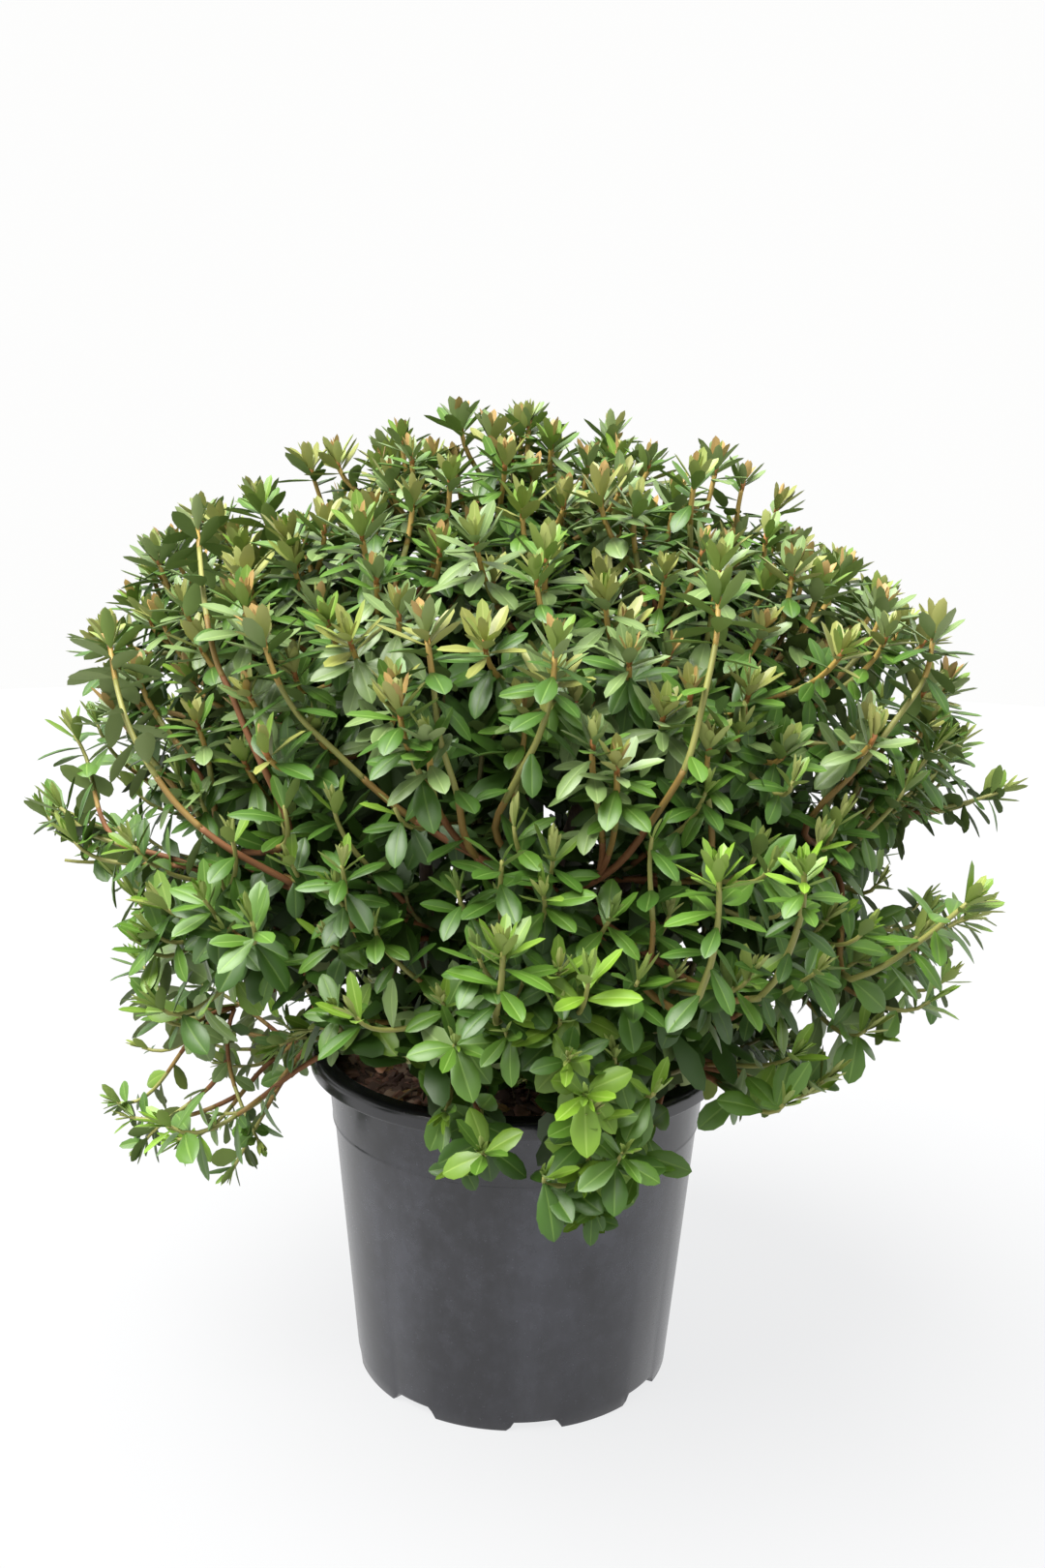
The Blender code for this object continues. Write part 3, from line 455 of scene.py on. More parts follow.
def join_batch(name, batch, finishes):
    """One piece from pairs of a pattern and its place."""
    patterns = list({id(pattern): pattern for pattern, _ in batch}.values())
    points, corners, sizes, materials = [], [], [], []
    first = 0
    for pattern in patterns:
        places = np.array([place for other, place in batch if other is pattern])
        moved = np.einsum("nij,pj->npi", places[:, :3, :3], pattern.points) + places[:, None, :3, 3]
        count = len(places)
        points.append(moved.reshape(-1, 3))
        shift = first + np.arange(count)[:, None] * len(pattern.points)
        corners.append((pattern.corners[None, :] + shift).ravel())
        sizes.append(np.tile(pattern.sizes, count))
        materials.append(np.tile(pattern.materials, count))
        first += count * len(pattern.points)
    points, corners = np.concatenate(points), np.concatenate(corners)
    sizes, materials = np.concatenate(sizes), np.concatenate(materials)
    mesh = bpy.data.meshes.new(name)
    mesh.vertices.add(len(points))
    mesh.vertices.foreach_set("co", points.astype(np.float32).ravel())
    mesh.loops.add(len(corners))
    mesh.loops.foreach_set("vertex_index", corners.astype(np.int32))
    mesh.polygons.add(len(sizes))
    starts = np.concatenate([[0], np.cumsum(sizes)[:-1]])
    mesh.polygons.foreach_set("loop_start", starts.astype(np.int32))
    mesh.polygons.foreach_set("material_index", materials.astype(np.int32))
    mesh.update(calc_edges=True)
    mesh.shade_smooth()
    mesh.set_sharp_from_angle(angle=math.radians(JOINED_SHARP_ANGLE))
    piece = add_piece(name, mesh, *finishes)
    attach(piece, "root")
    return piece


def chip_pattern(seed):
    """A splintered flake of bark, lying along X."""
    bm = bmesh.new()
    bmesh.ops.create_cube(bm, size=1.0)
    bmesh.ops.bevel(
        bm, geom=bm.edges[:], offset=CHIP_EDGE, affect="EDGES", segments=1, profile=0.5, material=-1,
    )
    for point in bm.verts:
        place = point.co * 2.3
        jitter = Vector([noise.noise(place + Vector((seed, 7.0 * axis, 0.0))) for axis in range(3)])
        point.co += jitter * CHIP_RAGGEDNESS
    return Pattern(bm)


def frame_of(along, upper):
    """Rotation whose X runs along a direction and whose Z is as near to upper as it can be."""
    side = upper.cross(along)
    if side.length < 1e-6:
        side = along.orthogonal()
    side.normalize()
    return Matrix((along, side, along.cross(side))).transposed()


def place_matrix(rotation, scale, point):
    """A 4x4 array from a rotation, a size along each axis and a place."""
    place = np.eye(4)
    place[:3, :3] = np.array(rotation) * np.array(scale)
    place[:3, 3] = point
    return place


def on_medium(margin):
    """A random place on the medium, as a point just on its top."""
    radius = (MEDIUM_RADIUS - margin) * math.sqrt(rng.uniform(0.02, 1.0))
    azimuth = rng.uniform(0.0, 2.0 * math.pi)
    x, y = radius * math.cos(azimuth), radius * math.sin(azimuth)
    return Vector((x, y, medium_surface(x, y)))


def random_tilt(amount):
    """Random directions for a small thing's length, nearly level, and for its upper side."""
    azimuth = rng.uniform(0.0, 2.0 * math.pi)
    along = Vector((math.cos(azimuth), math.sin(azimuth), rng.uniform(-amount, amount))).normalized()
    return along, Vector((rng.uniform(-amount, amount), rng.uniform(-amount, amount), 1.0))


chip_patterns = [chip_pattern(seed) for seed in range(6)]
# painted lighter than bark chips are: painted light in the crown's shade
CHIP_COLOURS = {
    "dark": (0.190, 0.115, 0.088),
    "russet": (0.420, 0.230, 0.165),
    "tan": (0.600, 0.420, 0.300),
}
CHIP_SHARES = (0.45, 0.37, 0.18)
chips = {name: [] for name in CHIP_COLOURS}
for i in range(CHIPS):
    length = rng.uniform(*CHIP_LENGTHS)
    size = (length, length * rng.uniform(0.35, 0.8), length * rng.uniform(0.18, 0.4))
    place = on_medium(0.014) + UP * length * 0.10
    kind = rng.choice(list(CHIP_COLOURS), p=CHIP_SHARES)
    spot = place_matrix(frame_of(*random_tilt(0.6)), size, place)
    chips[kind].append((chip_patterns[i % len(chip_patterns)], spot))
for name, pairs in chips.items():
    finish = Finish(f"{name}_bark_chip", CHIP_COLOURS[name], 0.85)
    for piece in join_copies(f"bark_chips_{name}", pairs, finish):
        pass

# --------------------------------------------------------------------- trunk and boughs
# Old wood: a short trunk with a fluted foot, one upright leader and six main boughs that
# leave it in turn at two heights, and side boughs from those.  The bark is thin, brown and
# finely fissured along the limb, with slight swellings where old shoots were shed.
trunk_low, trunk_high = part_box("trunk")
TRUNK_FOOT = trunk_low.z
TRUNK_HEIGHT = trunk_high.z - trunk_low.z
TRUNK_SIDES = 60
TRUNK_CUTS = 46
TRUNK_RADIUS = 0.0170
TRUNK_TIP_RADIUS = 0.0140
TRUNK_LEAN = (0.006, -0.003)  # how far the fork stands to the side of the foot
FLARE_RADIUS = 0.028
FLARE_ROOTS = 5
FLARE_FLUTING = 0.22
FLARE_FADE = 4
FISSURE_DEPTH = 0.0022
CROWN_MIDDLE = Vector((0.0, 0.0, 0.44))
# how far the crown reaches from its middle, by degrees of elevation
CROWN_REACH = {-60: 0.24, -45: 0.315, -30: 0.385, -10: 0.410, 12: 0.433, 40: 0.430, 65: 0.402, 90: 0.408}
LOBE_SIZE = 0.025
LOBES = 5
LOBE_TWIST = 15.0  # degrees of elevation that turn the lobes by one radian
RINGS = {
    # masses: how many, elevation, azimuth of the first
    "crown_top": (1, 90.0, 0.0),
    "upper": (5, 47.0, -62.0),
    "middle": (6, 10.0, -84.0),
    "skirt": (6, -27.0, -59.0),
}
MASS_DEPTH = 0.70  # where a mass's middle lies between the crown's middle and its reach
ENTRY_DEPTH = 0.50  # and where its bough ends
BOUGH_RADIUS = 0.0078
BOUGH_TIP_RADIUS = 0.0056
SIDE_BOUGH_RADIUS = 0.0058
SIDE_BOUGH_TIP_RADIUS = 0.0046
LEADER_STOUTNESS = 1.15
BEND = 0.38  # length of a curve's handles as a share of its span
MAIN_FORKS = ((0.62, 0.85), (0.30, 0.55))  # in turn: place up the trunk, steepness
MAIN_ARRIVAL = 0.55
SIDE_FORKS = {"upper": (0.42, 0.64, 0.48), "skirt": (0.24, 0.02, 0.015)}  # place, steepness, arrival
BOUGH_RINGS = 44
BOUGH_SIDES = 14
BARK_RELIEF = 0.0006
TRUNK_SHARP_ANGLE = 60.0


def on_sphere(azimuth, elevation):
    """Unit vector; both angles in degrees."""
    a, e = math.radians(azimuth), math.radians(elevation)
    return Vector((math.cos(a) * math.cos(e), math.sin(a) * math.cos(e), math.sin(e)))


def crown_reach(direction):
    """Distance from the crown's middle to its outside along a unit vector."""
    elevation = math.degrees(math.asin(max(-1.0, min(1.0, direction.z))))
    azimuth = math.atan2(direction.y, direction.x)
    reach = float(np.interp(elevation, list(CROWN_REACH), list(CROWN_REACH.values())))
    lobe = math.cos(LOBES * azimuth + elevation / LOBE_TWIST) * math.cos(math.radians(elevation))
    return reach * (1.0 + LOBE_SIZE * lobe)


def in_crown(direction, depth):
    """The point at a share of the crown's reach."""
    return CROWN_MIDDLE + direction * crown_reach(direction) * depth


def curve_between(start, start_direction, end, end_direction, count, bend=BEND):
    """Points of a smooth curve that leaves and arrives along the given directions."""
    handle = (end - start).length * bend
    a = start + start_direction.normalized() * handle
    b = end - end_direction.normalized() * handle
    points = []
    for i in range(count):
        t = i / (count - 1)
        u = 1.0 - t
        points.append(start * u**3 + a * 3 * u * u * t + b * 3 * u * t * t + end * t**3)
    return points


def trunk_axis(share):
    """The trunk's middle, from 0 at its foot to 1 at its fork."""
    lean_x, lean_y = TRUNK_LEAN
    return Vector((lean_x * share**1.5, lean_y * share**1.5, TRUNK_FOOT + TRUNK_HEIGHT * share))


def make_trunk():
    """A cylinder divided along its height, drawn to the trunk's taper, flutes and fissures."""
    bm = bmesh.new()
    bmesh.ops.create_cone(
        bm, cap_ends=True, segments=TRUNK_SIDES, radius1=1.0, radius2=1.0, depth=1.0,
        matrix=Matrix.Translation((0.0, 0.0, 0.5)),
    )
    upright = [e for e in bm.edges if abs(e.verts[0].co.z - e.verts[1].co.z) > 0.5]
    bmesh.ops.subdivide_edges(bm, edges=upright, cuts=TRUNK_CUTS, use_grid_fill=False)
    for point in bm.verts:
        azimuth, share = math.atan2(point.co.y, point.co.x), point.co.z
        taper = TRUNK_RADIUS + (TRUNK_TIP_RADIUS - TRUNK_RADIUS) * share
        flare = (FLARE_RADIUS - TRUNK_RADIUS) * (1.0 - share) ** FLARE_FADE
        flutes = 1.0 - FLARE_FLUTING + FLARE_FLUTING * math.cos(FLARE_ROOTS * azimuth)
        outward = Vector((math.cos(azimuth), math.sin(azimuth), 0.0))
        around = outward * 2.4 + UP * share * 1.3
        fissures = abs(noise.fractal(around * 2.6, 0.8, 2.2, 4))
        fissures = min(1.0, fissures * 1.6) * min(1.0, 14.0 * share + 0.2)
        point.co = trunk_axis(share) + outward * (taper + flare * flutes - FISSURE_DEPTH * fissures)
    return bm


def draw_tubes(name, lines, sides, relief=0.0):
    """One mesh of closed tapering tubes; each line is its points and its radii."""
    data = bpy.data.curves.new(name, "CURVE")
    data.dimensions = "3D"
    data.use_fill_caps = True
    data.bevel_depth = 1.0
    data.bevel_resolution = sides // 2 - 2
    for points, radii in lines:
        spline = data.splines.new("POLY")
        spline.points.add(len(points) - 1)
        spline.points.foreach_set("co", [value for point in points for value in (*point, 1.0)])
        spline.points.foreach_set("radius", list(radii))
    drawn = bpy.data.objects.new(name, data)
    scene.collection.objects.link(drawn)
    bpy.context.view_layer.update()
    mesh = bpy.data.meshes.new_from_object(drawn.evaluated_get(bpy.context.evaluated_depsgraph_get()))
    bpy.data.objects.remove(drawn)
    bm = bmesh.new()
    bm.from_mesh(mesh)
    bmesh.ops.remove_doubles(bm, verts=bm.verts, dist=0.000001)
    if relief:
        bm.normal_update()
        moves = [point.normal * relief * bark_height(point.co) for point in bm.verts]
        for point, move in zip(bm.verts, moves):
            point.co += move
    bm.to_mesh(mesh)
    bm.free()
    mesh.shade_smooth()
    return mesh


def bark_height(place):
    """Lumps, less fissures drawn out along the height."""
    ridges = abs(noise.fractal(Vector((place.x * 190.0, place.y * 190.0, place.z * 60.0)), 0.8, 2.1, 3))
    return noise.noise(place * 45.0) * 0.9 - min(1.0, ridges * 1.5)


def ring_directions(ring):
    """Unit vectors from the crown's middle to a ring's masses."""
    count, elevation, first = RINGS[ring]
    return [on_sphere(first + 360.0 / count * i, elevation) for i in range(count)]


def plan_boughs():
    """Each bough's line and end radii by name, and for each mass the bough that carries it."""
    boughs = {}
    carriers = {}
    start = trunk_axis(1.0) - UP * 0.004
    line = curve_between(start, UP, in_crown(UP, ENTRY_DEPTH), UP, BOUGH_RINGS)
    boughs["main_bough_top"] = (line, BOUGH_RADIUS * LEADER_STOUTNESS, BOUGH_TIP_RADIUS)
    carriers["crown_top_1"] = "main_bough_top"
    mains = []
    for i, direction in enumerate(ring_directions("middle")):
        fork, steepness = MAIN_FORKS[i % 2]
        outward = Vector((direction.x, direction.y, 0.0)).normalized()
        end = in_crown(direction, ENTRY_DEPTH)
        arrival = outward + UP * MAIN_ARRIVAL
        line = curve_between(trunk_axis(fork), outward + UP * steepness, end, arrival, BOUGH_RINGS)
        name = f"main_bough_{i + 1}"
        boughs[name] = (line, BOUGH_RADIUS, BOUGH_TIP_RADIUS)
        carriers[f"middle_{i + 1}"] = name
        mains.append(line)
    for ring, (fork, lift, arrival) in SIDE_FORKS.items():
        free = list(mains)
        for i, direction in enumerate(ring_directions(ring)):
            main = max(free, key=lambda line: (line[-1] - CROWN_MIDDLE).dot(direction))
            free = [other for other in free if other is not main]
            start = main[round(fork * (BOUGH_RINGS - 1))]
            end = in_crown(direction, ENTRY_DEPTH)
            departure = (end - start).normalized() + UP * lift
            line = curve_between(start, departure, end, direction + UP * arrival, BOUGH_RINGS)
            boughs[f"{ring}_bough_{i + 1}"] = (line, SIDE_BOUGH_RADIUS, SIDE_BOUGH_TIP_RADIUS)
            carriers[f"{ring}_{i + 1}"] = f"{ring}_bough_{i + 1}"
    return boughs, carriers


def bark_finish():
    """Brown bark with dark fissures and pale flecks."""
    finish = Finish("azalea_bark", (0.09, 0.055, 0.035), 0.85)
    fissures = finish.noise(95.0, 6.0, 0.7, stretch=(1.0, 1.0, 0.25))
    flecks = finish.noise(38.0, 4.0, 0.6).between(0.5, 0.72)
    wood = finish.blend(fissures.between(0.38, 0.62), (0.030, 0.018, 0.012), (0.115, 0.070, 0.045))
    finish.set(**{
        "Base Color": finish.blend(flecks * 0.45, wood, (0.19, 0.155, 0.120)),
        "Normal": finish.bump(fissures, 0.0012),
    })
    return finish


bark = bark_finish()
boughs, carriers = plan_boughs()
trunk = add_piece("trunk_bark", make_trunk(), bark)
trunk.data.shade_smooth()
trunk.data.set_sharp_from_angle(angle=math.radians(TRUNK_SHARP_ANGLE))
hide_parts("trunk")
bough_lines = [(line, np.linspace(first, last, len(line))) for line, first, last in boughs.values()]
bough_mesh = draw_tubes("bough_bark", bough_lines, BOUGH_SIDES, BARK_RELIEF)
bough_piece = add_piece("bough_bark", bough_mesh, bark)
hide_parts(*boughs)
for piece in (trunk, bough_piece):
    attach(piece, "root")

# ------------------------------------------------------------------------------- twigs
# Each mass of foliage grows on from its bough: a stem, then a twig to each shoot tip from
# whichever earlier twig gives the shortest way.  Wood two years old is red-brown, this
# year's shoots are yellow-green, and amber just below the youngest leaves.
GOLDEN_ANGLE = math.pi * (3.0 - math.sqrt(5.0))
OUTER_SHOOTS = 880
INNER_SHOOTS = 720
OUTER_LAYERS = ((0.965, 1.0), (0.91, 0.96), (0.85, 0.93), (0.94, 0.99))  # shares of the crown's reach
INNER_LAYERS = ((0.74, 0.84), (0.58, 0.74), (0.40, 0.58))
LEAST_DEPTH = 0.38
DEPTH_STEP = 0.03  # by which a shoot that would stand out of the crown is drawn in
TIP_SCATTER = (4.0, 2.5)  # degrees of azimuth and elevation
CLUMP_DIP = 0.085  # shoots stand in clumps, with dips this deep between
CLUMP_SCALE = 4.0
LEVEL_BAND = 0.25  # share of the dip that is left where the crown is widest from the front
WAIST = (0.085, 12.0, 13.0)  # the crown draws in below its top: depth, elevation, spread in degrees
SHOOT_RISE = {-60: -10, -42: 2, -28: 22, -10: 44, 10: 57, 30: 69, 55: 79, 90: 90}
SHOOT_LEAN = 12.0  # degrees
OUTER_LENGTH = 0.105  # of a shoot, as far as there is a joint at that distance
INNER_LENGTH = 0.070
TWIG_RINGS = 12
TWIG_BEND = 0.36
TWIG_TAPER = 0.8
TWIG_PULL = 1.3  # how much a twig leaves toward its tip, against the way its joint points
JOINT_RINGS = (4, 6, 8, 10)  # places along a twig that others may grow from
BARE_END = 0.05  # none grows nearer an outer shoot's tip
TIP_RADIUS = 0.0014
TOP_TIP_RADIUS = 0.0019  # upright top shoots are stouter
LONG_TIP_RADIUS = 0.0018
LONG_FOOT_RADIUS = 0.0027
LONG_FOOT_RINGS = 9  # from its mass's hub to a long shoot's first place
LONG_FOOT_BEND = 0.42
LONG_STEPS = 5  # between two places
LONG_JOINT = 4
TWIG_FOOT = 0.62  # a twig's foot against the radius of what it leaves
LEAST_FOOT = 0.0023
FOOT_TO_TIP = 1.25  # a foot is at least this much stouter than its tip
PATH_WEIGHT = 0.25  # how much a twig minds the length of the way back to its hub
TURN_WEIGHT = 0.07  # and a turn on its own way
HUB_PLACE = 0.45  # where a stem ends between its collar and the mass's middle
STEM_SINK = 0.002
STEM_STRAIGHT = 0.010
STEM_TAPER = 0.85
STEM_JOINT = 4
GREEN_LENGTH = 0.080  # this year's growth
LONG_GREEN_LENGTH = 0.165
TURNING_FROM = 0.72  # of the green length
AMBER_LENGTH = 0.036
RED_LENGTH = 0.009
LAP = 0.001  # by which each stretch runs into the next
TOP_FROM = 0.38  # height of a shoot's direction from which it is a top one
LEAF_SET_BACK = 0.018  # how far the youngest leaves reach past a shoot's tip
POT_CLEARANCE = 0.006
TIP_SLACK = -8.0  # in points of the view
LEAF_SLACK = 16.0
SPARSE_BELOW = -16.0  # degrees of elevation
SPARSE_SHARE = 0.70
THIN_SIDES = (
    # the foliage is thinner at the sides: from and to this far to the side, below, share kept
    (-1.0, -0.45, 0.0, 0.32),
    (0.60, 1.0, 3.0, 0.42),
    (-1.0, -0.80, 40.0, 0.86),
    (0.80, 1.0, 40.0, 0.86),
)
LOOSE_SHOOTS = (
    # leaf tip, azimuth and rise of the shoot, tint of its youngest leaves
    ((-0.356, -0.020, 0.222), 185, 12, "apple"), ((-0.306, -0.060, 0.216), 195, 5, "lime"),
    ((-0.235, -0.120, 0.222), 215, -25, "lime"), ((-0.352, 0.020, 0.275), 176, 20, "apple"),
    ((0.149, -0.150, 0.222), -30, -30, "apple"), ((0.207, -0.120, 0.299), -25, -10, "apple"),
    ((0.043, -0.385, 0.395), -92, 24, "lime"), ((0.047, -0.330, 0.306), -96, -20, "lime"),
    ((-0.028, -0.300, 0.318), -100, -20, "apple"), ((-0.053, -0.300, 0.335), -104, -12, "fresh"),
    ((0.081, -0.300, 0.324), -84, -24, "apple"), ((-0.402, -0.020, 0.496), 178, 36, "apple"),
    ((0.419, 0.020, 0.523), 2, 34, "apple"), ((0.394, -0.040, 0.423), -6, 22, "apple"),
    ((-0.004, 0.000, 0.832), 90, 88, "bronze"), ((0.022, -0.030, 0.822), -60, 78, "apple"),
    ((0.044, -0.384, 0.484), -86, 70, "lime"), ((0.139, -0.130, 0.240), -40, -35, "lime"),
    ((0.129, -0.150, 0.228), -60, -50, "fresh"), ((-0.334, 0.000, 0.684), 182, 62, "apple"),
    ((-0.339, -0.030, 0.654), 188, 56, "bronze"), ((-0.168, -0.200, 0.358), 225, -12, "apple"),
    ((-0.194, -0.180, 0.335), 220, -25, "fresh"), ((-0.258, -0.120, 0.391), 205, 8, "fresh"),
    ((-0.115, 0.000, 0.805), 130, 84, "bronze"), ((-0.156, -0.020, 0.804), 200, 82, "bronze"),
    ((-0.256, -0.030, 0.750), 190, 66, "apple"), ((-0.315, 0.000, 0.708), 185, 60, "apple"),
    ((-0.184, 0.010, 0.798), 170, 74, "bronze"), ((-0.090, 0.030, 0.798), 100, 84, "apple"),
    ((-0.366, 0.000, 0.645), 180, 56, "bronze"), ((-0.278, 0.020, 0.756), 170, 70, "bronze"),
    ((0.159, 0.000, 0.804), 10, 80, "apple"), ((0.186, 0.020, 0.792), 20, 74, "bronze"),
    ((0.346, 0.000, 0.659), 0, 56, "apple"), ((0.381, 0.000, 0.570), 0, 46, "apple"),
    ((0.428, 0.000, 0.527), 0, 24, "apple"), ((-0.411, 0.000, 0.497), 180, 24, "apple"),
    ((-0.404, -0.020, 0.452), 184, 10, "fresh"), ((0.413, 0.000, 0.418), 0, 20, "apple"),
    ((-0.333, -0.040, 0.187), 190, -55, "fresh"), ((-0.246, -0.080, 0.182), 200, -60, "fresh"),
    ((-0.205, -0.100, 0.221), -60, -20, "apple"), ((-0.372, 0.000, 0.227), 180, 10, "fresh"),
    ((0.075, 0.000, 0.809), 60, 84, "apple"), ((-0.059, 0.000, 0.803), 120, 84, "apple"),
)
LONG_SHOOTS = (
    # tint of the youngest leaves, and places along a long bare shoot at the front, foot first
    ("bronze", (-0.161, -0.252, 0.494), (-0.202, -0.261, 0.520), (-0.231, -0.259, 0.544),
     (-0.251, -0.254, 0.569), (-0.269, -0.241, 0.595), (-0.283, -0.220, 0.622), (-0.295, -0.192, 0.652)),
    ("bronze", (-0.161, -0.257, 0.543), (-0.171, -0.266, 0.570), (-0.185, -0.263, 0.599),
     (-0.196, -0.256, 0.623), (-0.209, -0.245, 0.647), (-0.220, -0.223, 0.683), (-0.243, -0.134, 0.734)),
    ("bronze", (-0.103, -0.280, 0.570), (-0.124, -0.286, 0.592), (-0.146, -0.288, 0.614),
     (-0.161, -0.286, 0.639), (-0.171, -0.282, 0.667)),
    ("apple", (-0.037, -0.313, 0.545), (-0.041, -0.326, 0.573), (-0.051, -0.338, 0.609),
     (-0.055, -0.344, 0.644), (-0.060, -0.341, 0.678)),
    ("bronze", (-0.014, -0.303, 0.555), (0.000, -0.320, 0.586), (0.011, -0.332, 0.611),
     (0.018, -0.339, 0.639), (0.020, -0.343, 0.670)),
    ("apple", (0.077, -0.308, 0.539), (0.094, -0.317, 0.569), (0.106, -0.324, 0.596),
     (0.116, -0.316, 0.638), (0.123, -0.304, 0.671), (0.125, -0.291, 0.699)),
    ("bronze", (0.212, -0.227, 0.550), (0.237, -0.228, 0.578), (0.260, -0.222, 0.608),
     (0.282, -0.211, 0.638), (0.288, -0.206, 0.672)),
    ("lime", (0.115, -0.355, 0.450), (0.120, -0.369, 0.478), (0.122, -0.376, 0.506),
     (0.121, -0.380, 0.535)),
    ("lime", (0.166, -0.334, 0.454), (0.173, -0.350, 0.484), (0.176, -0.362, 0.512),
     (0.174, -0.370, 0.537)),
    ("apple", (-0.013, -0.362, 0.440), (-0.010, -0.374, 0.463), (-0.009, -0.382, 0.486)),
    ("apple", (0.250, -0.242, 0.432), (0.264, -0.249, 0.444), (0.286, -0.263, 0.469),
     (0.307, -0.270, 0.492)),
)

# The crown narrows to a ragged hem over the pot.  Hem and sides are told from the camera's
# place, in points of its view: how low the hem hangs across the view, and how far the crown
# goes to each side down it.  The openings show sky, the rim or the growing medium.
VIEW_SIZE = (1080, 1620)
STEM_ROOM = 8.0  # few leaves hang this near before a long shoot
STEM_CLEARED = 0.78
HEM = {
    90: 1190, 150: 1225, 235: 1232, 262: 1212, 300: 1150, 330: 1106, 425: 1118, 440: 1205,
    512: 1232, 536: 1168, 556: 1268, 622: 1284, 662: 1222, 700: 1205, 724: 1264, 748: 1180,
    850: 1132, 905: 1080, 1000: 1045, 1040: 945,
}
SIDES = {
    500: (215, 815), 560: (100, 885), 640: (62, 992), 700: (45, 1002), 760: (42, 1015), 815: (18, 1062),
    850: (30, 1035), 885: (92, 1012), 925: (132, 1036), 960: (112, 1020), 1050: (138, 990), 1110: (104, 880),
    1165: (98, 770), 1235: (98, 745),
}
OPENINGS = (
    # middle, half width and half height
    (385, 1128, 60, 38), (541, 1144, 32, 20), (708, 1142, 27, 22), (698, 1168, 24, 18), (302, 1156, 22, 30),
    (232, 1132, 22, 16), (165, 1100, 40, 10), (975, 899, 48, 14), (775, 512, 24, 16), (308, 514, 14, 12),
    (120, 828, 16, 12), (190, 868, 14, 9), (950, 862, 20, 12), (150, 1067, 16, 9), (905, 930, 14, 9),
)


def in_view(point):
    """Where a point falls in the camera's view, from its upper left corner."""
    local = camera.matrix_world.inverted() @ Vector(point)
    focal = camera.data.lens / camera.data.sensor_width * VIEW_SIZE[1]
    return VIEW_SIZE[0] / 2 - focal * local.x / local.z, VIEW_SIZE[1] / 2 + focal * local.y / local.z


def in_outline(point, slack):
    """Whether a point shows inside the crown's outline, or at most the slack outside it."""
    x, y = in_view(point)
    if y > float(np.interp(x, list(HEM), list(HEM.values()))) + slack:
        return False
    left, right = (np.interp(y, list(SIDES), ends) for ends in zip(*SIDES.values()))
    if y > min(SIDES) and not left - slack < x < right + slack:
        return False
    return all(((x - cx) / rx) ** 2 + ((y - cy) / ry) ** 2 > 1.0 for cx, cy, rx, ry in OPENINGS)


middles = {
    f"{ring}_{i + 1}": in_crown(direction, MASS_DEPTH)
    for ring in RINGS for i, direction in enumerate(ring_directions(ring))
}
names = list(middles)
middle_array = np.array(list(middles.values()))
TIP_MARGIN = 0.002
BLADE_MARGIN = 0.009  # past half a leaf's width


def owner(point):
    """The mass whose middle lies nearest."""
    return names[int(np.argmin(((middle_array - np.array(point)) ** 2).sum(1)))]


def clear_of_pot(point, margin):
    """Above the growing medium, or outside the pot's lip."""
    from_axis = math.hypot(point.x, point.y)
    if from_axis < RIM_RADIUS - WALL - margin:
        return point.z > MEDIUM_TOP + MOUND_HEIGHT + margin
    return point.z > POT_HEIGHT + margin or from_axis > LIP_RADIUS + margin


def in_box(point, margin):
    """Whether the point lies at least the margin inside the part's own box."""
    return all(low + margin < value < high - margin for low, value, high in zip(cad_low, point, cad_high))


def has_room(point):
    """Whether leaves at the point stay in the box and in the crown's outline."""
    return in_box(point, TIP_MARGIN) and in_outline(point, TIP_SLACK)


def plan_tips(tips, count, layers):
    """Adds evenly scattered shoot tips by mass: place, the shoot's own axis, is it inner, tint."""
    turn_scatter, tilt_scatter = TIP_SCATTER
    for i in range(count):
        height = 1.0 - 2.0 * (i + 0.5) / count
        azimuth = math.degrees(GOLDEN_ANGLE * i) + rng.uniform(-turn_scatter, turn_scatter)
        elevation = min(90.0, math.degrees(math.asin(height)) + rng.uniform(-tilt_scatter, tilt_scatter))
        kept = SPARSE_SHARE if elevation < SPARSE_BELOW else 1.0
        for least, most, below, share in THIN_SIDES:
            if least <= math.cos(math.radians(azimuth)) <= most and elevation < below:
                kept = min(kept, share)
        if rng.uniform() > kept:
            continue
        direction = on_sphere(azimuth, elevation)
        depth = rng.uniform(*layers[i % len(layers)])
        dip = CLUMP_DIP * min(1.0, max(0.0, 0.45 - noise.noise(direction * CLUMP_SCALE)))
        dip *= min(1.0, LEVEL_BAND + abs(direction.y) * 2.0)
        waist, middle, band = WAIST
        dip += waist * math.exp(-((elevation - middle) / band) ** 2) * min(1.0, abs(direction.y) * 1.5)
        rise = float(np.interp(elevation, list(SHOOT_RISE), list(SHOOT_RISE.values())))
        rise = min(90.0, rise + rng.uniform(-SHOOT_LEAN, SHOOT_LEAN))
        axis = on_sphere(azimuth + rng.uniform(-1.5, 1.5) * SHOOT_LEAN, rise)
        depth -= dip
        while depth > LEAST_DEPTH and not has_room(in_crown(direction, depth)):
            depth -= DEPTH_STEP
        point = in_crown(direction, depth) - axis * LEAF_SET_BACK
        if depth > LEAST_DEPTH and clear_of_pot(point, POT_CLEARANCE):
            tips[owner(point)].append((point, axis, layers is INNER_LAYERS, None))


